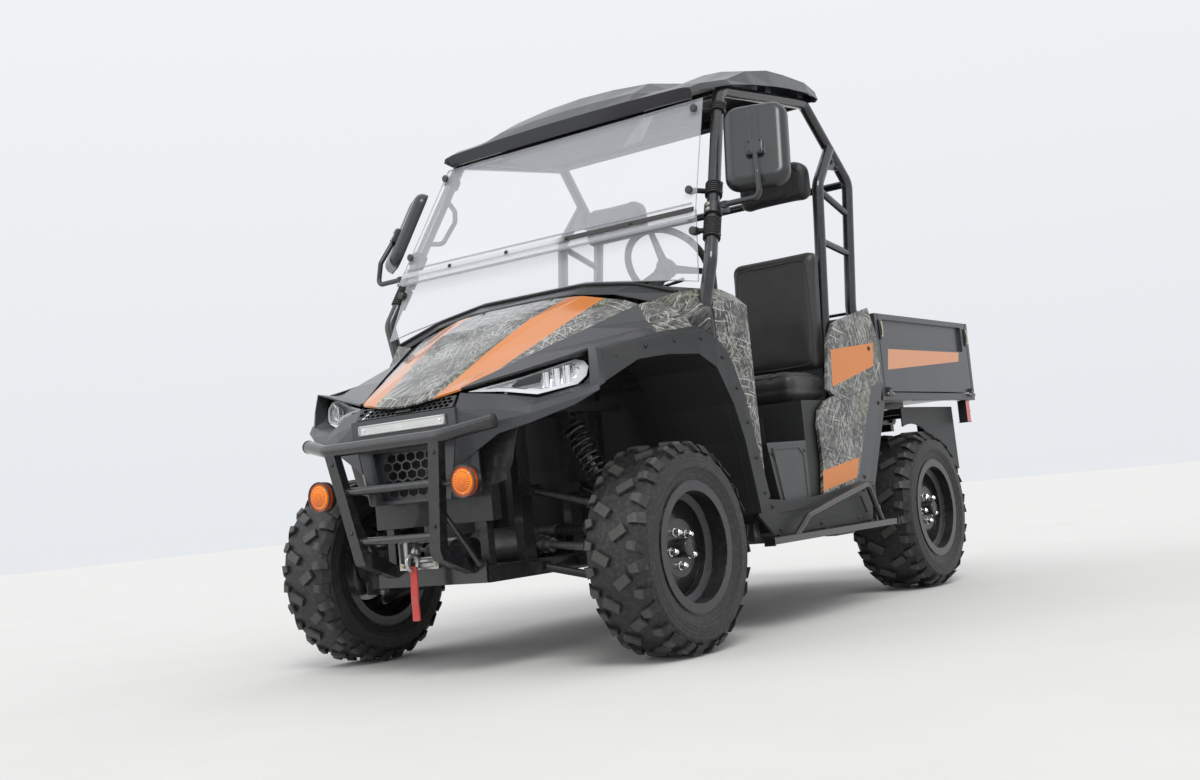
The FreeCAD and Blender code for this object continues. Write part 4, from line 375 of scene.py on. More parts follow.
def camouflage(name, flat_way, stripe=None, cover=None, crease=None, gloss=0.35):
    """Printed dry grass: blades in layers over dark ground, with a stripe, a cover, and painted shade along
    a pressed line.

    flat_way turns the object's coordinates into two on the panel's face.
    """
    s = Shader(name)
    u, v = flat_way(s)
    flat = s.vector(u, v, 0.0)
    bent = s.vector(
        s.math("MULTIPLY_ADD", s.noise(3.0, 2.0, vector=flat), 0.05, u),
        s.math(
            "MULTIPLY_ADD", s.noise(3.3, 2.0, vector=s.mapping(location=(4, 7, 1), vector=flat)), 0.05, v,
        ),
    )
    shade = s.ramp(s.noise(14.0, 5.0, 0.65, vector=flat), CAMO_BASE)
    trunk = s.step(s.noise(1.0, 2.0, 0.45, vector=s.mapping(scale=(9.0, 2.2, 1), vector=bent)), 0.54, 0.025)
    bark = s.noise(1.0, 3.0, 0.6, vector=s.mapping(scale=(240.0, 34.0, 1), vector=bent))
    shade = s.mix(
        s.times(trunk, 0.92), shade, s.ramp(bark, [(0.48, BARK_AND_CREASE_SHADE), (0.66, (0.085, 0.086, 0.082))]),
    )
    fleck = s.noise(200.0, 4.0, 0.7, vector=flat)
    shade = s.mix(s.step(fleck, 0.57, 0.05), shade, (0.12, 0.122, 0.117))
    for n, (turn, along, across, level, colour) in enumerate(GRASS):
        turned = s.mapping(rotation=(0, 0, math.radians(turn)), vector=bent)
        laid = s.mapping(scale=(along, across, 1), location=(n * 3.1, n * 1.7, 0), vector=turned)
        blade = s.step(s.noise(1.0, 1.5, 0.5, vector=laid), level - 0.045, 0.05)
        where = s.step(s.noise(7.0, 3.0, vector=s.mapping(location=(n, 2 * n, 0), vector=flat)), 0.51, 0.08)
        shade = s.mix(s.times(blade, where), shade, colour)
    moss = s.step(s.noise(5.0, 3.0, vector=s.mapping(location=(9, 4, 0), vector=flat)), 0.6, 0.08)
    shade = s.mix(s.times(moss, 0.22), shade, (0.13, 0.135, 0.04))
    rounded = s.worn_edge(0.0025)[1]
    # painted shade: the pressed line is drawn dark where its crease falls in shade
    if crease:
        shade = s.mix(s.times(crease(s), 0.85), shade, BARK_AND_CREASE_SHADE)
    if stripe:
        shade = s.mix(stripe(s), shade, ORANGE)
    if cover:
        plastic = s.mix(s.noise(6.0, 4.0), (0.020, 0.021, 0.025), (0.033, 0.034, 0.039))
        shade = s.mix(cover(s), shade, plastic)
    shade = s.mix(s.both(s.facing_up(), s.noise(19.0, 5.0, 0.7), 0.10), shade, DUST)
    s.set(Base_Color=shade, Roughness=0.40, Coat_Weight=gloss, Coat_Roughness=0.09)
    s.bump(s.noise(330.0, 2.0), 0.1, 0.0003, rounded)
    return s.material


def seen_from_above(s):
    x, y, z = s.xyz()
    return x, y


def seen_from_side(s):
    x, y, z = s.xyz()
    return y, s.minus(z, s.math("ABSOLUTE", x))


def absolute_xy(s):
    x, y, z = s.xyz()
    return s.math("ABSOLUTE", x), y


def panel_crease_shade(s):
    """Painted shade: a dark line along the pressed line across the side panel, rising to the rear."""
    x, y, z = s.xyz()
    past = s.minus(z, s.math("MULTIPLY_ADD", y, 0.182, 0.759))
    return s.band(past, -0.002, 0.002, 0.002)


def panel_cover(s):
    """The charcoal strip down the side panel's rear edge, below the crease."""
    x, y, z = s.xyz()
    return s.polygon(y, z, [(0.214, 0.44), (0.42, 0.44), (0.62, 0.60), (0.62, 0.872), (0.450, 0.841)])


LOWER_STRIPE = [(-0.060, 0.452), (0.232, 0.490), (0.269, 0.566), (-0.045, 0.527)]


def panel_stripe(s):
    x, y, z = s.xyz()
    upper = s.polygon(y, z, [(0.108, 0.839), (0.496, 0.927), (0.511, 1.020), (0.126, 0.981)])
    return s.math("MAXIMUM", upper, s.polygon(y, z, LOWER_STRIPE))


def fender_cover(s):
    """The charcoal nose of each front wing, up to a slanting line over the wheel."""
    x, y, z = s.xyz()
    line = s.math("MULTIPLY_ADD", s.minus(s.math("ABSOLUTE", x), 0.517), -0.836, -0.862)
    return s.minus(1.0, s.step(s.minus(y, line), 0.0))


def bed_side_material():
    """The dark drop side with its slanting stripe."""
    s = Shader("bed side paint")
    x, y, z = s.xyz()
    stripe = s.polygon(y, z, [(0.648, 0.915), (1.435, 0.966), (1.448, 1.008), (0.671, 1.001)])
    outside = s.step(s.math("ABSOLUTE", x), BED_HALF - 0.003)
    edge, rounded = s.worn_edge(0.002, 0.03, 0.08)
    paint = s.mix(s.noise(5.0, 4.0), (0.026, 0.028, 0.033), (0.042, 0.044, 0.050))
    shade = s.mix(s.times(stripe, outside), paint, SALMON)
    shade = s.mix(s.both(edge, s.noise(50.0, 4.0), 0.6), shade, (0.25, 0.25, 0.26))
    s.set(Base_Color=shade, Roughness=0.36, Coat_Weight=0.3, Coat_Roughness=0.12, Metallic=0.1)
    return s.bump(s.noise(420.0, 2.0), 0.1, 0.0003, rounded).material


def tyre_material(name, axle):
    """Rubber with raised rings on the sidewall, painted shade in the grooves between dusty lugs, and pale
    scuffs.
    """
    s = Shader(name)
    x, y, z = s.xyz()
    dy, dz = s.minus(y, axle[0]), s.minus(z, axle[1])
    radius = s.distance(dy, dz)
    angle = s.math("ARCTAN2", dz, dy)
    rings = s.times(s.math("SINE", s.times(radius, 2 * math.pi / 0.012)), 0.5)
    side = s.band(radius, 0.214, 0.288, 0.004)
    ribs = s.times(s.math("SINE", s.times(angle, 220.0)), s.band(radius, 0.232, 0.25, 0.002),
    )
    grime = s.noise(30.0, 5.0, 0.7)
    # painted shade: below the lug tops the rubber is darkened, standing in for the shade in the grooves
    low = s.minus(1.0, s.step(radius, 0.319, 0.006))
    groove_shade = s.times(s.step(radius, 0.28, 0.01), low)
    shade = s.mix(s.times(grime, 0.6), (0.009, 0.009, 0.009), (0.020, 0.020, 0.020))
    shade = s.mix(s.times(groove_shade, 0.6), shade, (0.005, 0.005, 0.005))
    top = s.times(s.step(radius, 0.321, 0.004), s.math("MULTIPLY_ADD", grime, 0.8, 0.25))
    shade = s.mix(top, shade, (0.062, 0.059, 0.054))
    shade = s.mix(
        s.times(s.step(s.noise(70.0, 5.0, 0.75), 0.56, 0.15), 0.4), shade, (0.060, 0.060, 0.058),
    )
    s.set(Base_Color=shade, Roughness=s.math("MULTIPLY_ADD", grime, 0.24, 0.40))
    height = s.plus(s.times(s.plus(rings, ribs), side), s.times(grime, 0.3),
    )
    return s.bump(height, 0.55, 0.0015).material


# Finishes

BLACK = moulded("black plastic", (0.011, 0.0115, 0.012), 0.48)
SMOOTH = moulded("smooth black plastic", (0.010, 0.011, 0.012), 0.32, grain=1500.0, depth=0.00015, coat=0.3)
ROOF = moulded("roof plastic", (0.021, 0.023, 0.027), 0.34, grain=1400.0, depth=0.0002, coat=0.3, dust=0.10)
CHARCOAL = moulded("charcoal plastic", (0.027, 0.029, 0.033), 0.38, grain=1100.0, depth=0.00025, coat=0.15)
GREY = moulded("grey plastic", (0.046, 0.047, 0.048), 0.46)
CAB = moulded("cab plastic", (0.012, 0.0125, 0.013), 0.5, grain=700.0, depth=0.0005, dust=0.12)
RUBBER = moulded("rubber", (0.009, 0.009, 0.009), 0.66, grain=1300.0)
TUBE = painted("tube paint", (0.007, 0.0075, 0.0085), 0.24, coat=0.5)
CHASSIS = painted("chassis paint", (0.009, 0.009, 0.0095), 0.46, dust=0.2)
BED = painted("bed paint", (0.028, 0.030, 0.034), 0.38, coat=0.2)
RIM = painted("rim paint", (0.007, 0.007, 0.008), 0.30, coat=0.3)
DARK = painted("dark metal", (0.018, 0.0185, 0.020), 0.40, metal=0.5, coat=0.1)
CAST = metal("cast alloy", (0.34, 0.34, 0.335), 0.52, stain=0.6, scale=90.0)
STEEL = metal("bare steel", (0.52, 0.52, 0.515), 0.34, brushed=(0.2, 1, 1))
PLATE = metal("brushed plate", (0.56, 0.56, 0.55), 0.30, brushed=(0.02, 1, 1), stain=0.2)
CHROME = metal("bright nuts", (0.80, 0.80, 0.79), 0.14, stain=0.15)
ZINC = metal("zinc bolts", (0.58, 0.54, 0.44), 0.36, stain=0.4)
BOLTS = painted("black bolts", (0.016, 0.017, 0.018), 0.30, metal=0.5)
# near-black paint, also used as painted shade in shadowed places behind the nose
RADIATOR_AND_SHADE_BLACK = painted("radiator paint", (0.008, 0.008, 0.008), 0.5)
REFLECTOR = metal("reflector", (0.83, 0.84, 0.86), 0.10, brushed=(8, 0.4, 0.4), stain=0.25, scale=60.0)
WHITE = moulded("lamp surround", (0.47, 0.48, 0.49), 0.25, grain=1500.0, depth=0.0001, coat=0.5, dust=0.06)
VINYL = leathercloth("seat cloth", (0.017, 0.017, 0.0175))
VINYL_SIDE = leathercloth("seat side cloth", (0.022, 0.022, 0.023))
RED_WEB = webbing("red webbing", (0.46, 0.018, 0.014))
ROPE = webbing("winch rope", (0.16, 0.16, 0.15), 0.004)
AMBER = amber_lens()
RED_LENS = lens("red lens", (0.42, 0.012, 0.01), 0.1, 160.0)
CLEAR = clear_plastic("clear lens", (0.93, 0.96, 1.0), 0.16, 0.03)
# painted reflection: the sheet's pale, half-opaque tint stands in for the sky's glare on the screen
SCREEN = clear_plastic("clear sheet", (0.68, 0.69, 0.73), 0.24, 0.02, 0.03)
SCREEN_EDGE = clear_plastic("sheet edge", (0.40, 0.42, 0.44), 0.5, 0.15)
JOINT = joint_rubber()
GLASS = Shader("mirror glass").set(Base_Color=(0.86, 0.88, 0.90), Metallic=1.0)
GLASS.set(Roughness=GLASS.math("MULTIPLY_ADD", GLASS.noise(30.0, 4.0), 0.06, 0.0))
GLASS = GLASS.material
THREAD = moulded("thread", (0.11, 0.11, 0.115), 0.7, dust=0.0)
SPRING = painted("spring paint", (0.010, 0.010, 0.011), 0.28, coat=0.5)
STOPPER = moulded("yellow stop", (0.40, 0.34, 0.12), 0.5)
GAUGE = Shader("gauge glass").set(Base_Color=(0.008, 0.010, 0.012), Roughness=0.06, Coat_Weight=1.0).material
HOOD_CAMO = camouflage(
    "hood print", seen_from_above, gloss=1.0,
    stripe=lambda s: s.polygon(
        *absolute_xy(s), [(0.125, -1.50), (0.225, -1.50), (0.375, -0.84), (0.225, -0.84)],
    ),
)
WING_CAMO = camouflage("wing print", seen_from_side, cover=fender_cover)
PANEL_CAMO = camouflage("side panel print", seen_from_side, panel_stripe, panel_cover, panel_crease_shade)
BED_SIDE = bed_side_material()
FRONT_TYRE = tyre_material("front tyre", FRONT_AXLE)
REAR_TYRE = tyre_material("rear tyre", REAR_AXLE)

# a node that no row names is black plastic
FINISH = {}
for finish, names in (
    (CHASSIS, "frame front_frame rear_frame"),
    (TUBE, "bumper step_bars cage cage_rear"),
    (AMBER, "indicators"),
    (SMOOTH, "indicator_cases grilles cowl mirror_brackets mirror_left mirror_right"),
    (DARK, "winch hood_hinges hitch suspension"),
    (STEEL, "fairlead winch_hook steering_rack"),
    (CHARCOAL, "fascia"),
    (PLATE, "name_plate"),
    (CLEAR, "headlights"),
    (WING_CAMO, "fenders"),
    (HOOD_CAMO, "hood"),
    (CAB, "dash steering_column floor seat_base"),
    (RUBBER, "steering_wheel screen_clamps bed_stops"),
    (PANEL_CAMO, "b_panels"),
    (GREY, "rear_trims"),
    (ROOF, "roof"),
    (SCREEN, "screens"),
    (GLASS, "mirror_glass_left mirror_glass_right"),
    (BED, "bed tailgate"),
    (BED_SIDE, "bed_side_left bed_side_right"),
    (RED_LENS, "rear_lamps"),
    (CAST, "driveline knuckle_left knuckle_right"),
):
    FINISH.update((name, finish) for name in names.split())


def by_polygon(node, materials, choose):
    """Gives each polygon of a CAD node one of several materials."""
    node.data.materials.clear()
    for material in materials:
        node.data.materials.append(material)
    for polygon in node.data.polygons:
        polygon.material_index = choose(polygon.center, polygon.normal)


def dress_wheel(node, axle, hub_x, face, rubber):
    """Rubber outside the bead, rim paint inside it, bright nuts, a hub nose and a steel disc."""
    def choose(centre, normal):
        radius = math.hypot(centre.y - axle[0], centre.z - axle[1])
        along = abs(centre.x) - hub_x
        under_tyre = 0.176 < radius < 0.1775 and along < 0.2 and abs(normal.x) < 0.2
        if radius > 0.2045 or under_tyre:
            return 0
        for angle in STUD_ANGLES:
            stud_y = axle[0] + STUD_CIRCLE * math.cos(angle)
            stud_z = axle[1] + STUD_CIRCLE * math.sin(angle)
            if math.hypot(centre.y - stud_y, centre.z - stud_z) < 0.0115 and along > face:
                return 2
        if radius < 0.031 and along > face - 0.006:
            return 3
        if radius < 0.1105 and along < face - 0.012:
            return 4
        return 1
    by_polygon(node, (rubber, RIM, CHROME, DARK, STEEL), choose)


def inside_lamp(point):
    """How far out a point is from the lamp's middle, as a share of its outline."""
    outline = [(0.232, -1.424, 0.870), (0.345, -1.392, 0.858), (0.440, -1.343, 0.838)]
    outline += [(0.545, -1.275, 0.857), (0.567, -1.256, 0.880), (0.572, -1.247, 0.908)]
    outline += [(0.555, -1.244, 0.928), (0.522, -1.246, 0.937), (0.380, -1.333, 0.899)]
    cx, cz = (sum(p[k] for p in outline) / len(outline) for k in (0, 2))
    x, z = abs(point.x) - cx, point.z - cz
    share = 0.0
    for (x0, _, z0), (x1, _, z1) in zip(outline, outline[1:] + outline[:1]):
        x0, z0, x1, z1 = x0 - cx, z0 - cz, x1 - cx, z1 - cz
        away = (x1 - x0) * -z0 - (z1 - z0) * -x0
        share = max(share, 1 - ((x1 - x0) * (z - z0) - (z1 - z0) * (x - x0)) / away)
    return share


def dress_nodes():
    for name, node in NODES.items():
        node.data.materials.clear()
        node.data.materials.append(FINISH.get(name, BLACK))
    for end, axle, x, face, rubber in (
        ("front", FRONT_AXLE, FRONT_WHEEL_X, FRONT_HUB_FACE, FRONT_TYRE),
        ("rear", REAR_AXLE, REAR_WHEEL_X, REAR_HUB_FACE, REAR_TYRE),
    ):
        for side in ("left", "right"):
            dress_wheel(NODES[f"wheel_{end}_{side}"], axle, x, face, rubber)
    by_polygon(
        NODES["headlight_bodies"], (SMOOTH, WHITE, REFLECTOR),
        lambda c, n: 1 if inside_lamp(c) > 0.78 and n.y < -0.2 else (2 if inside_lamp(c) < 0.76 else 0),
    )
    by_polygon(
        NODES["fascia"], (CHARCOAL, SMOOTH), lambda c, n: 1 if c.z < 0.762 and abs(c.x) < 0.213 else 0,
    )
    by_polygon(NODES["seat_base"], (CAB, GREY), lambda c, n: 1 if abs(c.x) > 0.6935 and c.y < -0.12 else 0)
    # the radiator is near-black: partly its own paint, partly painted shade for the shadowed space behind
    # the nose
    by_polygon(
        NODES["driveline"], (CAST, RADIATOR_AND_SHADE_BLACK),
        lambda c, n: 1 if c.y < -1.25 and c.z > 0.45 and abs(c.x) < 0.36 else 0,
    )

    def on_joint(c, n):
        return 1.424 < c.z < 1.45 and (abs(c.x) < 0.5 or abs(n.x) > 0.9 and abs(c.x) > 0.67)

    by_polygon(NODES["screen_clamps"], (RUBBER, JOINT), lambda c, n: 1 if on_joint(c, n) else 0)
    by_polygon(
        NODES["rear_lamps"], (SMOOTH, RED_LENS), lambda c, n: 1 if n.y > 0.5 or abs(n.x) > 0.5 else 0,
    )


# Small parts, gathered by the body they ride on and their finish

SLOTS = {}
for slot, finishes in (
    ("amber", (AMBER,)), ("bare_steel", (STEEL, CHROME, PLATE, ZINC)), ("bed_paint", (BED,)),
    ("black_plastic", (SMOOTH, CHARCOAL, RADIATOR_AND_SHADE_BLACK, CAB)), ("cast", (CAST,)), ("clear", (SCREEN_EDGE, GAUGE)),
    ("dark_metal", (SPRING, DARK, RIM, ROPE, BOLTS)), ("frame_steel", (TUBE,)), ("lens", (REFLECTOR,)),
    ("rubber", (RUBBER, STOPPER)), ("vinyl", (VINYL_SIDE, THREAD)),
):
    SLOTS.update((finish.name, slot) for finish in finishes)


class Kit:
    """One mesh for each body and finish; the first call for a pair sets its slot."""

    def __init__(self):
        self.groups = {}

    def shape(self, body, material, slot=None):
        key = (body, material.name)
        slot = slot or SLOTS[material.name]
        if key not in self.groups:
            self.groups[key] = (bmesh.new(), material, slot)
        return self.groups[key][0]

    def finish(self):
        for (body, name), (bm, material, slot) in self.groups.items():
            bmesh.ops.recalc_face_normals(bm, faces=bm.faces)
            mesh = bpy.data.meshes.new(f"{body} {name}")
            bm.to_mesh(mesh)
            bm.free()
            piece = "".join(c if c.isalnum() else "_" for c in f"{body}_{name}")
            obj = bpy.data.objects.new(piece, mesh)
            scene.collection.objects.link(obj)
            smooth(obj, 35)
            mesh.materials.append(material)
            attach(obj, body)


def smooth(obj, degrees):
    for polygon in obj.data.polygons:
        polygon.use_smooth = True
    obj.data.set_sharp_from_angle(angle=math.radians(degrees))


def across(way):
    """Two unit vectors square to a direction and to each other."""
    way = way.normalized()
    u = way.cross(Vector((0, 0, 1)) if abs(way.z) < 0.9 else Vector((1, 0, 0))).normalized()
    return u, way.cross(u)


def circle(centre, u, v, radius, sides, squash=1.0):
    turns = (2 * math.pi * k / sides for k in range(sides))
    return [centre + u * (radius * math.cos(a)) + v * (radius * squash * math.sin(a)) for a in turns]


def loft(bm, rings, closed=False, caps=True):
    """Quads between rings of points, with flat ends unless the run closes on itself."""
    rows = [[bm.verts.new(p) for p in ring] for ring in rings]
    pairs = list(zip(rows, rows[1:] + rows[:1] if closed else rows[1:]))
    for a, b in pairs:
        for i in range(len(a)):
            j = (i + 1) % len(a)
            bm.faces.new((a[i], a[j], b[j], b[i]))
    if caps and not closed:
        bm.faces.new(list(reversed(rows[0])))
        bm.faces.new(rows[-1])


def eased(points, radius=0.02, steps=5):
    """The path with each inner corner rounded."""
    points = [Vector(p) for p in points]
    path = [points[0]]
    for before, corner, after in zip(points, points[1:], points[2:]):
        reach = min(radius, (before - corner).length * 0.45, (after - corner).length * 0.45)
        start = corner + (before - corner).normalized() * reach
        end = corner + (after - corner).normalized() * reach
        for n in range(steps + 1):
            t = n / steps
            path.append(start * (1 - t) ** 2 + corner * (2 * t * (1 - t)) + end * t * t)
    return path + [points[-1]]


def tube(bm, points, radius, sides=10, closed=False, ends=None):
    """A round bar along a path; ends may scale the radius along it."""
    points = [Vector(p) for p in points]
    count = len(points)
    rings = []
    u = None
    for n, point in enumerate(points):
        before = points[n - 1] if n or closed else point
        after = points[(n + 1) % count] if n < count - 1 or closed else point
        way = (after - before).normalized()
        if u is None:
            u, v = across(way)
        else:
            u = (u - way * u.dot(way)).normalized()
            v = way.cross(u)
        size = radius * (ends(n / (count - 1)) if ends else 1.0)
        rings.append(circle(point, u, v, size, sides))
    loft(bm, rings, closed=closed)


def lathe(bm, at, way, profile, sides=16):
    """A turned part: pairs of distance along the direction and radius."""
    at, way = Vector(at), Vector(way).normalized()
    u, v = across(way)
    loft(bm, [circle(at + way * h, u, v, max(r, 0.0002), sides) for h, r in profile])


def block(bm, low, high, bevel=0.002, turn=None):
    """A box with rounded edges; turn is a matrix laid on it about its own middle."""
    low, high = Vector(low), Vector(high)
    middle, size = (low + high) / 2, high - low
    part = bmesh.new()
    bmesh.ops.create_cube(part, size=1.0, matrix=Matrix.Diagonal((*size, 1.0)))
    if bevel:
        reach = min(bevel, min(size) * 0.45)
        bmesh.ops.bevel(part, geom=part.edges[:], offset=reach, segments=2, affect="EDGES", profile=0.6)
    matrix = Matrix.Translation(middle) @ (turn.to_4x4() if turn else Matrix.Identity(4))
    bmesh.ops.transform(part, matrix=matrix, verts=part.verts)
    join(bm, part)


def join(bm, part):
    mesh = bpy.data.meshes.new("part")
    part.to_mesh(mesh)
    part.free()
    bm.from_mesh(mesh)
    bpy.data.meshes.remove(mesh)


def plate(bm, outline, normal, thick, bevel=0.001):
    """A flat plate from points in space, thickened along a normal, with eased edges."""
    part = bmesh.new()
    face = part.faces.new([part.verts.new(Vector(p)) for p in outline])
    move = bmesh.ops.extrude_face_region(part, geom=[face])
    lifted = [v for v in move["geom"] if isinstance(v, bmesh.types.BMVert)]
    bmesh.ops.translate(part, verts=lifted, vec=Vector(normal).normalized() * thick)
    bmesh.ops.recalc_face_normals(part, faces=part.faces)
    if bevel:
        bmesh.ops.bevel(part, geom=part.edges[:], offset=bevel, segments=2, affect="EDGES", profile=0.6)
    join(bm, part)


def slab(bm, across_x, y, z, way, thick, bevel):
    """A flat plate square to Y or Z: give one of y and z as a place and the other as a range."""
    (x0, x1), flat = across_x, isinstance(y, float)
    if flat:
        outline = [(x0, y, z[0]), (x1, y, z[0]), (x1, y, z[1]), (x0, y, z[1])]
    else:
        outline = [(x0, y[0], z), (x1, y[0], z), (x1, y[1], z), (x0, y[1], z)]
    plate(bm, outline, way, thick, bevel)


def bolt(kit, body, at, way, size=0.008, kind="hex", material=None, washer=True):
    """A bolt head on a washer: hex, or a dome with a socket."""
    material = material or BOLTS
    bm = kit.shape(body, material, "dark_metal")
    at, way = Vector(at), Vector(way).normalized()
    if washer:
        lathe(
            bm, at - way * 0.001, way, [(0, size * 1.45), (0.0022, size * 1.45), (0.0028, size * 1.35)], 16,
        )
        at = at + way * 0.0015
    if kind == "hex":
        u, v = across(way)
        rings = [
            circle(at + way * h, u, v, r, 6)
            for h, r in ((0, size), (size * 0.62, size), (size * 0.75, size * 0.86))
        ]
        loft(bm, rings)
        lathe(bm, at + way * size * 0.7, way, [(0, size * 0.55), (size * 0.22, size * 0.5)], 10)
    else:
        dome = [(0, size), (size * 0.25, size * 0.97), (size * 0.5, size * 0.8), (size * 0.62, size * 0.55)]
        dome += [(size * 0.66, size * 0.45), (size * 0.4, size * 0.4), (size * 0.38, 0.0)]
        lathe(bm, at, way, dome, 14)


def mirrored_point(point, side):
    return Vector((point[0] * side, point[1], point[2]))


def both(points):
    """The same points for the left and the right side."""
    for side in (1, -1):
        yield side, [mirrored_point(p, side) for p in points]


def along(points, t):
    """A point at a share of the way along a polyline."""
    lengths = [(b - a).length for a, b in zip(points, points[1:])]
    reach = t * sum(lengths)
    for a, b, length in zip(points, points[1:], lengths):
        if reach <= length:
            return a.lerp(b, reach / length)
        reach -= length
    return points[-1].copy()


# Padded pieces: a rounded grid, blown up as cloth, then grooved and piped

def pad_grid(size, corner, cell=0.0135):
    """A closed grid on a box with rounded corners, about its own middle."""
    half = Vector(size) / 2
    counts = [max(4, round(2 * h / cell)) for h in half]
    bm = bmesh.new()
    places = {}

    def vertex(i, j, k):
        key = (i, j, k)
        if key not in places:
            p = Vector([-h + 2 * h * n / c for h, n, c in zip(half, key, counts)])
            q = Vector([max(-(h - corner), min(h - corner, v)) for h, v in zip(half, p)])
            away = p - q
            if sum(abs(a) > 1e-9 for a in away) > 1:
                away = away.normalized() * corner
            places[key] = bm.verts.new(q + away)
        return places[key]

    for axis in range(3):
        a, b = [n for n in range(3) if n != axis]
        for end in (0, counts[axis]):
            for i in range(counts[a]):
                for j in range(counts[b]):
                    corners = []
                    for di, dj in ((0, 0), (1, 0), (1, 1), (0, 1)):
                        key = [0, 0, 0]
                        key[axis], key[a], key[b] = end, i + di, j + dj
                        corners.append(vertex(*key))
                    bm.faces.new(corners)
    bmesh.ops.recalc_face_normals(bm, faces=bm.faces)
    return bm


def blow_up(obj, cap):
    """Cloth with air in it for twenty frames; no point moves further than the cap."""
    before = [v.co.copy() for v in obj.data.vertices]
    cloth = obj.modifiers.new("cloth", "CLOTH")
    cloth.settings.use_pressure = True
    cloth.settings.uniform_pressure_force = 4.0
    cloth.settings.quality = 5
    cloth.settings.effector_weights.gravity = 0.0
    cloth.point_cache.frame_start, cloth.point_cache.frame_end = 1, 20
    for n in range(1, 21):
        scene.frame_set(n)
    graph = bpy.context.evaluated_depsgraph_get()
    blown = [v.co.copy() for v in obj.evaluated_get(graph).data.vertices]
    obj.modifiers.remove(cloth)
    scene.frame_set(1)
    for v, old, new in zip(obj.data.vertices, before, blown):
        move = new - old
        if move.length > cap:
            move = move.normalized() * cap
        v.co = old + move


def pad(name, low, high, corner, cap, bend, grooves, node, material=None):
    """One padded piece inside a box; grooves give a depth from a place in shares of the box."""
    low, high = Vector(low), Vector(high)
    middle, size = (low + high) / 2, high - low
    shrunk = size - Vector((1, 1, 1)) * cap * 1.5
    bm = pad_grid(shrunk, corner)
    mesh = bpy.data.meshes.new(name)
    bm.to_mesh(mesh)
    bm.free()
    obj = bpy.data.objects.new(name, mesh)
    scene.collection.objects.link(obj)
    blow_up(obj, cap)
    divide = obj.modifiers.new("smooth", "SUBSURF")
    divide.levels = divide.render_levels = 1
    graph = bpy.context.evaluated_depsgraph_get()
    finer = bpy.data.meshes.new_from_object(obj.evaluated_get(graph))
    obj.modifiers.remove(divide)
    obj.data = finer
    bpy.data.meshes.remove(mesh)
    half = size / 2
    normals = [v.normal.copy() for v in finer.vertices]
    for v, normal in zip(finer.vertices, normals):
        share = Vector([c / h for c, h in zip(v.co, half)])
        v.co -= normal * grooves(share, normal)
        v.co = Vector([max(-h, min(h, c)) for c, h in zip(v.co, half)])
    for v in finer.vertices:
        v.co = bend(v.co + middle)
    for polygon in finer.polygons:
        polygon.use_smooth = True
    finer.materials.append(material or VINYL)
    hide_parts(node)
    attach(obj, "chassis")
    return obj


def piping(kit, pads, path, radius=0.0028, closed=True):
    """A sewn cord laid on a pad's skin along a path."""
    laid = []
    for point in path:
        hit, place, normal, _ = pads.closest_point_on_mesh(point)
        laid.append(place + normal * radius * 0.3)
    tube(kit.shape("chassis", VINYL_SIDE), laid, radius, 7, closed=closed)


def stitches(kit, pads, path, gap=0.0075):
    """Short threads along a seam."""
    bm = kit.shape("chassis", THREAD)
    for a, b in zip(path, path[1:]):
        count = max(1, int((b - a).length / gap))
        for n in range(count):
            p = a.lerp(b, (n + 0.15) / count)
            q = a.lerp(b, (n + 0.72) / count)
            (_, p, np, _), (_, q, nq, _) = pads.closest_point_on_mesh(p), pads.closest_point_on_mesh(q)
            tube(bm, [p - np * 0.0003, (p + q) / 2 + np * 0.0007, q - nq * 0.0003], 0.0007, 5)


def swell(value, power):
    """A sine or cosine drawn towards its ends, which squares the corners of an oval."""
    return math.copysign(abs(value) ** power, value)


def groove(distance, depth, width=0.012):
    return depth * math.exp(-((distance / width) ** 2))


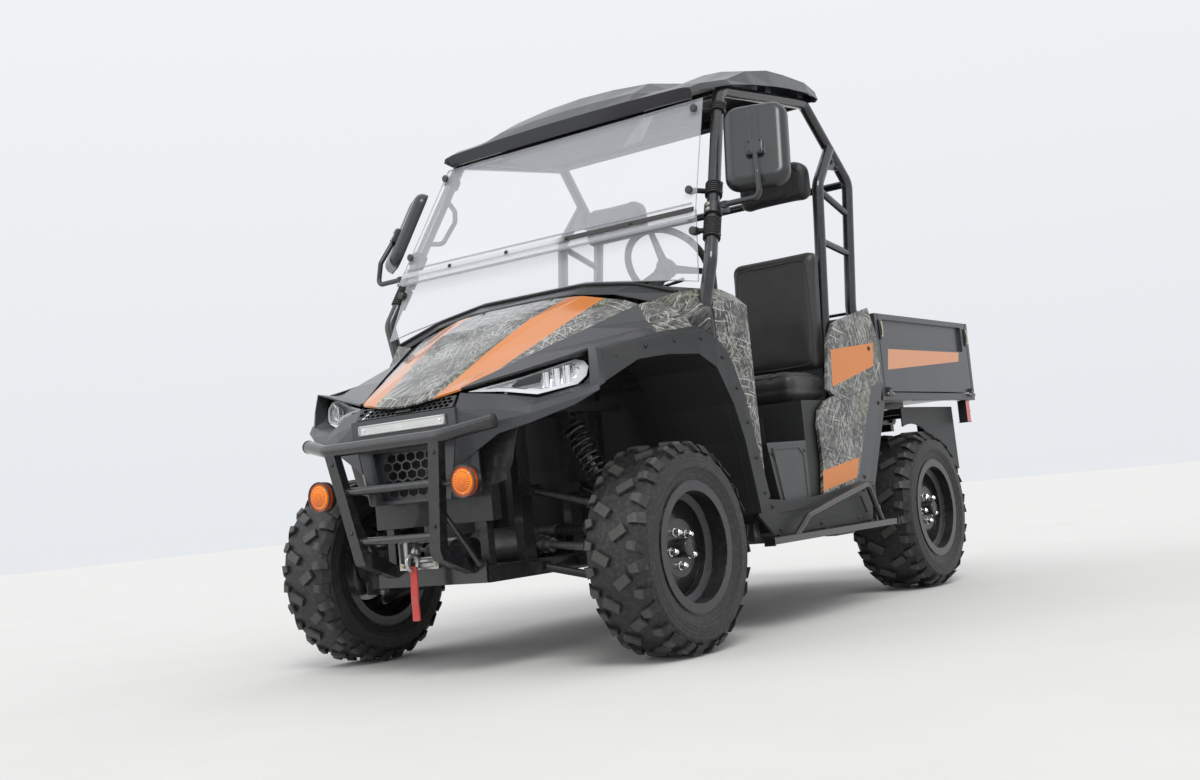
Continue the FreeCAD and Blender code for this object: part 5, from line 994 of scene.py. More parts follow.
def seats(kit):
    for side in (1, -1):
        def name(word):
            return word + ("_left" if side > 0 else "_right")

        # cushion, with a bolster line down each side
        x0, x1 = sorted((side * 0.040, side * 0.690))

        def cushion_grooves(share, normal):
            if normal.z < 0.25:
                return groove(share.z * 0.059 + 0.012, 0.004, 0.008) if share.z > -0.9 else 0.0
            return groove(abs(abs(share.x) - 0.66) * 0.325, 0.005)

        def cushion_bend(p):
            nose = max(0.0, (-0.06 - p.y) / 0.1)
            top = max(0.0, min(1.0, (p.z - 0.80) / 0.10))
            return Vector((
                p.x, p.y,
                p.z - (0.006 + 0.010 * (p.y > 0.05) * (p.y - 0.05) * 10) * top + 0.004 * nose * top,
            ))

        cushion = pad(
            name("cushion"), (x0, -0.154, 0.790), (x1, 0.150, 0.908), 0.040, 0.010,
            cushion_bend, cushion_grooves, "seats",
        )
        middle = (x0 + x1) / 2
        for share in (-0.66, 0.66):
            x = middle + share * 0.325
            line = [Vector((x, -0.150 + 0.29 * n / 12, 0.93)) for n in range(13)]
            for off in (-0.006, 0.006):
                stitches(kit, cushion, [p + Vector((off, 0, 0)) for p in line])
        loop = [Vector((x0 + 0.03, -0.13, 0.885)), Vector((x1 - 0.03, -0.13, 0.885))]
        loop += [Vector((x1 - 0.03, 0.13, 0.885)), Vector((x0 + 0.03, 0.13, 0.885))]
        ring = []
        for a, b in zip(loop, loop[1:] + loop[:1]):
            ring += [a.lerp(b, n / 14) for n in range(14)]
        piping(kit, cushion, [p + Vector((0, 0, 0.004)) for p in ring])

        # back, leaning and thinner at the top
        x0, x1 = sorted((side * 0.288, side * 0.682))

        def back_grooves(share, normal):
            if normal.y > -0.25:
                return groove(share.y * 0.045, 0.003, 0.008) if abs(share.z) < 0.97 else 0.0
            return 0.004 * math.exp(
                -(((share.z + 0.35) * 0.251 / 0.10) ** 2 + (share.x * 0.197 / 0.12) ** 2),
            )

        def back_bend(p):
            z = p.z
            centre = 0.143 + (z - 0.893) * 0.045 + max(0.0, z - 1.10) * 0.065
            thick = 1.0 - 0.18 * max(0.0, (z - 1.20) / 0.2)
            return Vector((p.x, centre + (p.y - 0.145) * thick, z))

        back = pad(
            name("back"), (x0, 0.103, 0.897), (x1, 0.187, 1.392), 0.038, 0.009,
            back_bend, back_grooves, "seats",
        )
        middle = (x0 + x1) / 2
        half = (x1 - x0) / 2
        ring = [
            Vector((
                middle + half * 0.93 * swell(math.cos(a), 0.35), 0.09,
                1.145 + 0.225 * swell(math.sin(a), 0.35),
            ))
            for a in (2 * math.pi * n / 72 for n in range(72))
        ]
        piping(kit, back, ring)

        # headrest on its stays
        x0, x1 = sorted((side * 0.231, side * 0.571))

        def rest_grooves(share, normal):
            if normal.y >= -0.3:
                return 0.0
            return groove(math.hypot(share.x, share.z * 0.8) * 0.17 - 0.105, 0.004, 0.009)

        def rest_bend(p):
            share = (p.z - 1.714) / 0.092
            pull = math.sqrt(1 - 0.66 * min(1.0, max(0.0, share)) ** 3.2 - 0.18 * max(0.0, -share) ** 4)
            return Vector(((x0 + x1) / 2 + (p.x - (x0 + x1) / 2) * pull, p.y, p.z))

        rest = pad(
            name("headrest"), (x0, 0.3725, 1.623), (x1, 0.4455, 1.805), 0.033, 0.007,
            rest_bend, rest_grooves, "headrests",
        )
        middle = (x0 + x1) / 2
        ring = [
            Vector((
                middle + 0.148 * swell(math.cos(a), 0.5 if a > math.pi else 0.9), 0.36,
                1.714 + 0.076 * swell(math.sin(a), 0.5 if a > math.pi else 0.8),
            ))
            for a in (2 * math.pi * n / 60 for n in range(60))
        ]
        piping(kit, rest, ring, 0.0024)
        for x in (middle - 0.049, middle + 0.049):
            bolt(kit, "chassis", (x, 0.449, 1.70), (0, 1, 0), 0.006)


def strap():
    """The red pull strap: one band folded over the hook's eye, its two ends sewn together."""
    width, thick = 0.028, 0.0019
    path = []
    for n in range(41):
        t = n / 40
        z = 0.1815 + 0.164 * t
        path.append((-1.4962 + 0.0022 * math.sin(9 * t) * (1 - t), z))
    for n in range(1, 12):
        a = math.pi * n / 12
        path.append((-1.4940 - 0.0022 * math.cos(a), 0.3455 + 0.004 * math.sin(a)))
    for n in range(41):
        t = 1 - n / 40
        z = 0.1830 + 0.1625 * t
        path.append((-1.4918 + 0.0020 * math.sin(9 * t + 0.5) * (1 - t), z))
    bm = bmesh.new()
    rows = []
    for n, (y, z) in enumerate(path):
        before, after = path[max(n - 1, 0)], path[min(n + 1, len(path) - 1)]
        way = Vector((0, after[0] - before[0], after[1] - before[1])).normalized()
        out = Vector((0, way.z, -way.y)) * thick / 2
        sway = 0.0025 * math.sin(z * 24)
        cup = 0.0008
        row = []
        for side in (1, -1):
            line = [-1, -0.5, 0, 0.5, 1] if side > 0 else [1, 0.5, 0, -0.5, -1]
            for u in line:
                spot = Vector((sway + u * width / 2, y, z)) + out * side * (0.6 if abs(u) == 1 else 1)
                row.append(spot + way * cup * u * u)
        rows.append(row)
    loft(bm, rows)
    bmesh.ops.recalc_face_normals(bm, faces=bm.faces)
    mesh = bpy.data.meshes.new("pull_strap")
    bm.to_mesh(mesh)
    bm.free()
    obj = bpy.data.objects.new("pull_strap", mesh)
    scene.collection.objects.link(obj)
    smooth(obj, 60)
    mesh.materials.append(RED_WEB)
    length = sum(math.hypot(b[0] - a[0], b[1] - a[1]) for a, b in zip(path, path[1:]))
    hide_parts("winch_strap")
    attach(obj, "chassis")


# Dressing

def shock(kit, foot, head, ring):
    """A damper with a wound coil spring between two eyes."""
    foot, head = Vector(foot), Vector(head)
    way = (head - foot).normalized()
    length = (head - foot).length
    black = kit.shape("chassis", SPRING)
    bright = kit.shape("chassis", STEEL)
    body = kit.shape("chassis", DARK)
    for end in (foot, head):
        lathe(
            body, end - Vector((0, 0.016, 0)), (0, 1, 0),
            [(0, 0.012), (0.001, 0.0138), (0.031, 0.0138), (0.032, 0.012)], 20,
        )
        lathe(
            bright, end - Vector((0, 0.019, 0)), (0, 1, 0),
            [(0, 0.006), (0.001, 0.0075), (0.037, 0.0075), (0.038, 0.006)], 14,
        )
    low, high = 0.22 * length, 0.84 * length
    lathe(bright, foot + way * 0.01, way, [(0, 0.0085), (high, 0.0085)], 14)
    lathe(body, foot + way * 0.012, way, [(0, 0.010), (0.004, 0.013), (0.02, 0.013), (0.022, 0.009)], 16)
    lathe(body, foot + way * low * 0.9, way, [
        (0, 0.012), (0.002, 0.036), (0.006, 0.041), (0.012, 0.041), (0.013, 0.024), (0.020, 0.023),
    ], 28)
    lathe(body, foot + way * (0.50 * length), way, [
        (0, 0.018), (0.003, 0.0225), (high - 0.50 * length, 0.0225), (high - 0.50 * length + 0.004, 0.040),
        (high - 0.50 * length + 0.011, 0.041), (high - 0.50 * length + 0.015, 0.022),
        (length * 0.5 - 0.030, 0.020),
        (length * 0.5 - 0.012, 0.012),
    ], 28)
    for n in range(7):
        at = foot + way * (0.52 * length + 0.010 * n)
        lathe(body, at, way, [(0, 0.0222), (0.0015, 0.0238), (0.0035, 0.0238), (0.005, 0.0222)], 24)
    u, v = across(way)
    turns, wire = 7.0, 0.0058
    coil = []
    for n in range(int(turns * 20) + 1):
        a = 2 * math.pi * n / 20
        t = n / (turns * 20)
        rise = low + 0.006 + wire + (high - low - 0.012) * (t * 0.96 + 0.02 * (1 - math.cos(math.pi * t)))
        coil.append(foot + way * rise + u * (0.0325 * math.cos(a)) + v * (0.0325 * math.sin(a)))
    tube(black, coil, wire, 9)
    collar = kit.shape("chassis", ring)
    lathe(
        collar, foot + way * (low - 0.002), way,
        [(0, 0.036), (0.002, 0.039), (0.007, 0.039), (0.009, 0.036)], 28,
    )


def wheels(kit):
    for end, axle, wheel_x, face, half_width in (
        ("front", FRONT_AXLE, FRONT_WHEEL_X, FRONT_HUB_FACE, 0.1145),
        ("rear", REAR_AXLE, REAR_WHEEL_X, REAR_HUB_FACE, 0.1395),
    ):
        for word, side in (("left", 1), ("right", -1)):
            body = f"wheel_{end}_{word}"
            centre = Vector((side * wheel_x, axle[0], axle[1]))
            way = Vector((side, 0, 0))
            hub = kit.shape(body, SMOOTH)
            lathe(hub, centre + way * (face + 0.0275), way, [
                (0, 0.0285), (0.004, 0.0285), (0.008, 0.026), (0.010, 0.018), (0.0105, 0.016),
                (0.009, 0.015), (0.009, 0.0),
            ], 28)
            bright = kit.shape(body, CHROME)
            u, v = Vector((0, 1, 0)), Vector((0, 0, 1))
            nut = ((-0.011, 0.0108), (0.008, 0.0108), (0.0105, 0.0088))
            for a in STUD_ANGLES:
                at = centre + (u * math.cos(a) + v * math.sin(a)) * STUD_CIRCLE + way * (face + 0.012)
                loft(bright, [circle(at + way * h, u, v, r, 6) for h, r in nut])
                lathe(bright, at + way * 0.010, way, [(0, 0.0082), (0.004, 0.006), (0.0045, 0.0)], 14)
                lathe(bright, at - way * 0.0115, way, [(0, 0.014), (0.0025, 0.014), (0.003, 0.0125)], 20)
            # stepped rings of the rim's outer face and a valve
            rim = kit.shape(body, RIM)
            lip = wheel_x + half_width - 0.016
            for radius, thick in ((0.1955, 0.0022), (0.186, 0.0016)):
                middle = Vector((side * lip, axle[0], axle[1]))
                tube(rim, circle(middle, u, v, radius, 64), thick, 6, closed=True)
            rubber = kit.shape(body, RUBBER)
            a = math.radians(200)
            outward = u * math.cos(a) + v * math.sin(a)
            seat = centre + way * (face + 0.004) + outward * 0.146
            out = (way - outward * 0.35).normalized()
            lathe(
                rubber, seat - out * 0.004, out,
                [(0, 0.0075), (0.006, 0.0072), (0.012, 0.0045), (0.030, 0.0038), (0.031, 0.002)], 12,
            )
            lathe(
                kit.shape(body, SMOOTH), seat + out * 0.026, out,
                [(0, 0.0042), (0.010, 0.0042), (0.0115, 0.003)], 10,
            )


def body_bolts(kit):
    """Screws and rivets on the flares, trims, panels, arch liners and gussets."""
    for side, outer in both(FLARE_OUTER):
        inner = [mirrored_point(p, side) for p in FLARE_INNER]
        for n in range(9):
            t = 0.05 + 0.115 * n
            o, i = along(outer, t), along(inner, t)
            ahead, back = along(outer, min(1, t + 0.03)), along(outer, max(0, t - 0.03))
            normal = (ahead - back).cross(i - o).normalized()
            if normal.x * side < 0:
                normal = -normal
            bolt(kit, "chassis", o.lerp(i, 0.34) + normal * 0.0006, normal, 0.0062, "dome", washer=False)
        for y, z in ((-0.425, 0.338), (-0.12, 0.338), (0.19, 0.338), (-0.47, 0.42), (0.26, 0.44)):
            bolt(kit, "chassis", (side * 0.7222, y, z), (side, 0, 0), 0.0065, "dome", washer=True)
        for y, z in ((0.466, 0.996), (0.503, 0.777), (0.300, 0.490)):
            bolt(kit, "chassis", (side * 0.7122, y, z), (side, 0, 0), 0.0065, "dome")
        for y, z in ((0.463, 1.772), (0.505, 1.752)):
            bolt(kit, "chassis", (side * 0.6405, y, z), (side, 0, 0), 0.0085)
        for y in (-0.385, -0.155):
            bolt(
                kit, "chassis", (side * 0.7002, y, 0.60 if y < -0.3 else 0.605), (side, 0, 0), 0.005,
                "dome",
            )


def pillar_fittings(kit):
    """Knobs on the screen's arms, bolts on the sleeves and mirror clamps, and the cowl's seal."""
    way = (PILLAR_TOP - PILLAR_BEND).normalized()
    for side in (1, -1):
        for z, upper in ((1.840, True), (1.512, True), (1.362, False)):
            t = (z - PILLAR_BEND.z) / (PILLAR_TOP.z - PILLAR_BEND.z)
            x = (PILLAR_BEND.x + (PILLAR_TOP.x - PILLAR_BEND.x) * t) * side
            y = pane_y(UPPER_PANE if upper else LOWER_PANE, z)
            tip = Vector((x - side * 0.044, y - 0.015, z))
            knob = kit.shape("chassis", SMOOTH)
            lathe(
                knob, tip, (0, -1, 0),
                [(0, 0.013), (0.003, 0.0145), (0.009, 0.0145), (0.012, 0.012), (0.013, 0.0)], 18,
            )
            bolt(kit, "chassis", tip + Vector((0, 0.031, 0)), (0, 1, 0), 0.007)
            centre = Vector((x, PILLAR_BEND.y + (PILLAR_TOP.y - PILLAR_BEND.y) * t, z))
            axis = mirrored_point(way, side)
            out = Vector((side, 0.05, 0)) - axis * axis.dot(Vector((side, 0.05, 0)))
            out.normalize()
            reach = 0.034 if z < 1.4 else 0.02
            for step in (-reach, reach):
                bolt(kit, "chassis", centre + axis * step + out * 0.0295, out, 0.005, "dome")
        # the mirror's clamp
        t = (MIRROR_ARM_Z - PILLAR_BEND.z) / (PILLAR_TOP.z - PILLAR_BEND.z)
        centre = mirrored_point(PILLAR_BEND.lerp(PILLAR_TOP, t), side)
        axis = mirrored_point(way, side)
        front = (Vector((0, -1, 0)) - axis * axis.dot(Vector((0, -1, 0)))).normalized()
        for step in (-0.011, 0.011):
            bolt(kit, "chassis", centre + axis * step + front * 0.0305, front, 0.0055, "dome", ZINC)
    seal = kit.shape("chassis", RUBBER)
    edge = [
        (-0.632, -0.799, 1.159), (-0.52, -0.780, 1.196), (-0.45, -0.7705, 1.2185),
        (-0.235, -0.7595, 1.2515), (0, -0.7595, 1.2515),
    ]
    path = edge + [(-x, y, z) for x, y, z in reversed(edge[:-1])]
    tube(seal, eased(path, 0.05), 0.0055, 8)


def pane_y(pane, z):
    base, level, lean = pane
    return base + (z - level) * lean


def pane_edges(kit):
    """The panes' polished edges and the thin rails along the joint."""
    bm = kit.shape("chassis", SCREEN_EDGE)
    lower = [
        (-664, 1440), (664, 1440), (704, 1182), (600, 1204), (235, 1260), (-235, 1260), (-600, 1204),
        (-704, 1182),
    ]
    upper = [(-606, 1880), (606, 1880), (684, 1404), (-684, 1404)]
    for outline, pane in ((lower, LOWER_PANE), (upper, UPPER_PANE)):
        points = [Vector((x / 1000, pane_y(pane, z / 1000), z / 1000)) for x, z in outline]
        tube(bm, points, 0.0027, 8, closed=True)
    for z in (1.462, 1.398):
        y = pane_y(UPPER_PANE, z) - 0.005
        tube(bm, [(-0.66, y, z), (0.66, y, z)], 0.0035, 8)
    for x in (-0.42, -0.14, 0.14, 0.42):
        z = 1.437
        bolt(kit, "chassis", (x, pane_y(UPPER_PANE, z) - 0.012, z), (0, -1, 0.2), 0.006, "dome")


def lamp_place(side, x, z):
    """A point on the slanting plane of the lamp's reflector."""
    middle_x, middle_y, sweep = LAMP_PLANE
    return Vector((side * x, middle_y + (x - middle_x) * sweep, z))


def lamp_inside(kit, side):
    """Four upright troughs of bright reflector at the outer end and a dark shield beside them."""
    bright = kit.shape("chassis", REFLECTOR)
    dark = kit.shape("chassis", SMOOTH)
    sideways = Vector((side * 0.825, 0.565, 0)).normalized()
    ahead = Vector((side * 0.565, -0.825, 0)).normalized()
    for x, z, width, height in (
        (0.540, 0.893, 0.021, 0.050), (0.515, 0.892, 0.022, 0.055), (0.488, 0.887, 0.024, 0.052),
        (0.462, 0.881, 0.018, 0.046),
    ):
        middle = lamp_place(side, x, z) - ahead * 0.009
        rows = []
        for n in range(5):
            t = n / 4 - 0.5
            level = middle + Vector((0, 0, t * height))
            lean = 0.004 * (1 - 4 * t * t)
            row = []
            for k in range(9):
                u = k / 4 - 1
                row.append(level + sideways * (u * width / 2) - ahead * (lean + 0.008 * (1 - u * u)))
            row += [level + sideways * (u * width / 2) - ahead * 0.014 for u in (1, -1)]
            rows.append(row)
        loft(bright, rows)
        edge = middle + sideways * (width / 2 + 0.0012)
        tube(dark, [edge - Vector((0, 0, height / 2)), edge + Vector((0, 0, height / 2))], 0.0012, 6)
    shield = [(0.452, 0.905), (0.446, 0.858), (0.405, 0.853), (0.372, 0.872), (0.395, 0.890)]
    plate(dark, [lamp_place(side, x, z) - ahead * 0.012 for x, z in shield], -ahead, 0.003)


def lamp_housing(kit, side):
    """The hood over each lamp and the band that closes its outer end, with black walls inside."""
    shell = kit.shape("chassis", CHARCOAL)
    walls = kit.shape("chassis", SMOOTH)
    lip = [(0.222, -1.446, 0.884), (0.380, -1.368, 0.915), (0.520, -1.302, 0.946), (0.592, -1.276, 0.962)]
    seat = [
        (0.216, -1.434, 0.888), (0.372, -1.330, 0.921), (0.524, -1.240, 0.9485), (0.601, -1.219, 0.9575),
    ]
    under = [(0.250, -1.410, 0.879), (0.380, -1.330, 0.907), (0.520, -1.243, 0.940), (0.578, -1.240, 0.940)]
    front = [(0.592, -1.276, 0.962), (0.600, -1.288, 0.905), (0.601, -1.296, 0.838)]
    outer = [(0.611, -1.262, 0.9625), (0.621, -1.272, 0.903), (0.627, -1.279, 0.842)]
    rear = [(0.603, -1.222, 0.9575), (0.613, -1.234, 0.905), (0.624, -1.246, 0.853)]
    inner = [(0.579, -1.240, 0.944), (0.581, -1.243, 0.905), (0.574, -1.252, 0.862)]
    # each shell runs through rows of corners, given as an edge and a shift (X, Y, Z) from it
    still = (0, 0, 0)
    brow = [(seat, still), (lip, still), (lip, (0, 0.004, -0.006)), (seat, (0, 0.002, -0.0042))]
    ceiling = [(lip, (0, 0.005, -0.006)), (under, still), (under, (0, 0, 0.002)), (lip, (0, 0.006, -0.004))]
    band = [(front, still), (outer, still), (rear, still), (rear, (-0.004, 0, 0))]
    band += [(outer, (-0.005, 0.002, 0)), (front, (0, 0.004, 0))]
    end_wall = [
        (front, (0, 0.004, 0)), (inner, still), (inner, (0.003, 0.002, 0)), (front, (0.003, 0.005, 0)),
    ]
    for bm, corners in ((shell, brow), (walls, ceiling), (shell, band), (walls, end_wall)):
        rows = zip(*([Vector(p) + Vector(shift) for p in edge] for edge, shift in corners))
        loft(bm, [[mirrored_point(p, side) for p in row] for row in rows])
    # a black sheet behind the post, painted shade filling the shadowed gap there
    guard = [
        (0.236, -1.390, 0.752), (0.372, -1.376, 0.752), (0.340, -1.376, 0.640), (0.310, -1.378, 0.590),
        (0.240, -1.386, 0.575),
    ]
    plate(kit.shape("chassis", RADIATOR_AND_SHADE_BLACK), [mirrored_point(p, side) for p in guard], (0, 1, 0), 0.004)


def nose(kit):
    """Frame and screws of the plate, lamps, caps of the bull bar, a small shelf and the winch's details."""
    frame_bm = kit.shape("chassis", PLATE)
    for z0, z1 in ((0.7765, 0.7815), (0.8025, 0.8075)):
        block(frame_bm, (-0.186, -1.4965, z0), (0.186, -1.494, z1), 0.001)
    for x in (-0.1855, 0.1805):
        block(frame_bm, (x, -1.4965, 0.7765), (x + 0.005, -1.494, 0.8075), 0.001)
    for x in (-0.165, 0.165):
        bolt(kit, "chassis", (x, -1.494, 0.792), (0, -1, 0), 0.0038, "dome", CHROME)
    boss = kit.shape("chassis", SMOOTH)
    plate(kit.shape("chassis", RADIATOR_AND_SHADE_BLACK), [
        (-0.205, -1.440, 0.828), (0.205, -1.440, 0.828), (0.205, -1.405, 0.866), (-0.205, -1.405, 0.866),
    ], (0, 0.7, -0.6), 0.003)
    shelf = [
        (-0.034, -1.4775, 0.832), (0.034, -1.4775, 0.832), (0.026, -1.4575, 0.858),
        (-0.026, -1.4575, 0.858),
    ]
    plate(boss, shelf, (0, -0.8, 0.55), 0.006, 0.0015)
    for side in (1, -1):
        lamp_inside(kit, side)
        lamp_housing(kit, side)
        # ends of the bar, lamp screws and brace bolts
        cap = kit.shape("chassis", RUBBER)
        out = Vector((side * 0.157, 0.068, 0.028)).normalized()
        lathe(
            cap, Vector((side * 0.400, -1.515, 0.764)) - out * 0.004, out,
            [(0, 0.0222), (0.006, 0.0222), (0.0095, 0.019), (0.0105, 0)], 28,
        )
        for z in (0.69, 0.47):
            t = (z - 0.400) / (0.736 - 0.400)
            bolt(
                kit, "chassis", (side * (0.165 + 0.061 * t), -1.564 - 0.033 * t + 0.0015, z), (0, -1, 0),
                0.007,
            )
        u, v = Vector((1, 0, 0)), Vector((0, 0, 1))
        lamp = Vector((side * INDICATOR_X, -1.5745, INDICATOR_Z))
        tube(boss, circle(lamp, u, v, 0.0475, 44), 0.0028, 8, closed=True)
        lamp.y = -1.5742
        for a in (math.radians(degrees) for degrees in (40, 140, 270)):
            at = lamp + (u * math.cos(a) + v * math.sin(a)) * 0.036
            bolt(kit, "chassis", at, (0, -1, 0), 0.0028, "dome", CHROME, washer=False)
        lamp.y = -1.5782
        tube(kit.shape("chassis", AMBER), circle(lamp, u, v, 0.012, 36), 0.0012, 6, closed=True)
    # rope on the drum and cover screws
    rope = kit.shape("chassis", ROPE)
    for n in range(17):
        x = -0.051 + 0.0064 * n
        turn = circle(
            Vector((x, DRUM_Y, DRUM_Z)), Vector((0, 1, 0)), Vector((0.03, 0, 1)).normalized(), 0.0275, 24,
        )
        tube(rope, turn, 0.0032, 7, closed=True)
    tube(rope, [(0.004, -1.376, 0.392), (0.002, -1.42, 0.398), (0, -1.466, 0.400)], 0.0056, 8)
    for x, side in ((-0.150, -1), (0.132, 1)):
        for a in (math.radians(60 * n) for n in range(6)):
            at = (x, DRUM_Y + 0.028 * math.cos(a), DRUM_Z + 0.028 * math.sin(a))
            bolt(kit, "chassis", at, (side, 0, 0), 0.004, "dome", washer=False)
    for x in (-0.070, 0.070):
        for z in (0.352, 0.430):
            bolt(kit, "chassis", (x, -1.4665, z), (0, -1, 0), 0.006, material=ZINC)
    hook = kit.shape("chassis", STEEL)
    lathe(
        hook, (-0.011, -1.474, 0.394), (1, 0, 0),
        [(0, 0.006), (0.002, 0.0085), (0.020, 0.0085), (0.022, 0.006)], 14,
    )
    tube(hook, eased([(0, -1.480, 0.383), (0, -1.5035, 0.378), (0, -1.510, 0.352)], 0.01), 0.0022, 7)


def bed_fittings(kit):
    """Floor ribs, latches, hinge bolts and pin collars, and lamp bezels."""
    ribs = kit.shape("bed", BED)
    for n in range(11):
        x = -0.60 + 0.12 * n
        slab(ribs, (x - 0.016, x + 0.016), (0.64, 1.53), 0.8195, (0, 0, 1), 0.004, 0.0018)
    for n in range(6):
        x = -0.56 + 0.224 * n
        slab(ribs, (x - 0.03, x + 0.03), 0.5705, (0.86, 1.09), (0, -1, 0), 0.003, 0.0014)
    for side in (1, -1):
        body = "bed_side_left" if side > 0 else "bed_side_right"
        steel = kit.shape(body, ZINC)
        black = kit.shape(body, SMOOTH)
        for y in (0.612, 1.546):
            # over-centre latch at each end of the drop side
            inner, outer = sorted((side * 0.7055, side * 0.7115))
            block(black, (inner, y - 0.014, 1.040), (outer, y + 0.014, 1.120), 0.002)
            tube(
                steel,
                eased(
                    [(side * 0.714, y, 1.050), (side * 0.716, y, 1.085), (side * 0.7125, y, 1.112)], 0.01,
                ),
                0.004, 8,
            )
            bolt(kit, body, (side * 0.7117, y, 1.052), (side, 0, 0), 0.0045, "dome", ZINC, washer=False)
        for y0 in (0.610, 1.518):
            for y in (y0 + 0.008, y0 + 0.022):
                bolt(kit, body, (side * 0.7192, y, 0.836), (side, 0, 0), 0.0038, "dome", washer=False)
        edge = kit.shape(body, RUBBER)
        tube(edge, [(side * 0.692, 0.604, 1.1462), (side * 0.692, 1.552, 1.1462)], 0.0035, 8)
        for y0, y1 in ((0.610, 0.640), (1.518, 1.548)):
            for y in (y0 - 0.0125, y1 + 0.0095):
                lathe(
                    kit.shape("bed", ZINC), (side * 0.714, y, PIN_Z), (0, 1, 0),
                    [(0, 0.0055), (0.001, 0.0065), (0.0025, 0.0065)], 12,
                )
        lamp = kit.shape("bed", SMOOTH)
        x0, x1 = sorted((side * 0.658, side * 0.702))
        for z in (0.6885, 0.7865):
            block(lamp, (x0, 1.476, z), (x1, 1.5225, z + 0.003), 0.001)
        block(lamp, (x0, 1.5195, 0.738), (x1, 1.5215, 0.742), 0.0008)
    gate = kit.shape("tailgate", SMOOTH)
    block(gate, (-0.085, 1.575, 1.010), (0.085, 1.5885, 1.062), 0.006)
    block(gate, (-0.060, 1.5875, 1.022), (0.060, 1.5925, 1.034), 0.003)
    for x in (-0.40, -0.20, 0.20, 0.40):
        strip = kit.shape("tailgate", BED)
        slab(strip, (x - 0.012, x + 0.012), 1.5762, (0.892, 1.084), (0, 1, 0), 0.003, 0.0014)
    for side in (1, -1):
        for z in (0.90, 1.09):
            bolt(kit, "tailgate", (side * 0.672, 1.5862, z), (0, 1, 0), 0.006, "dome")
    # grab rail along the headboard
    rail = kit.shape("bed", TUBE)
    tube(
        rail,
        eased(
            [(-0.63, 0.583, 1.145), (-0.63, 0.583, 1.163), (0.63, 0.583, 1.163), (0.63, 0.583, 1.145)],
            0.012,
        ),
        0.0065, 10,
    )


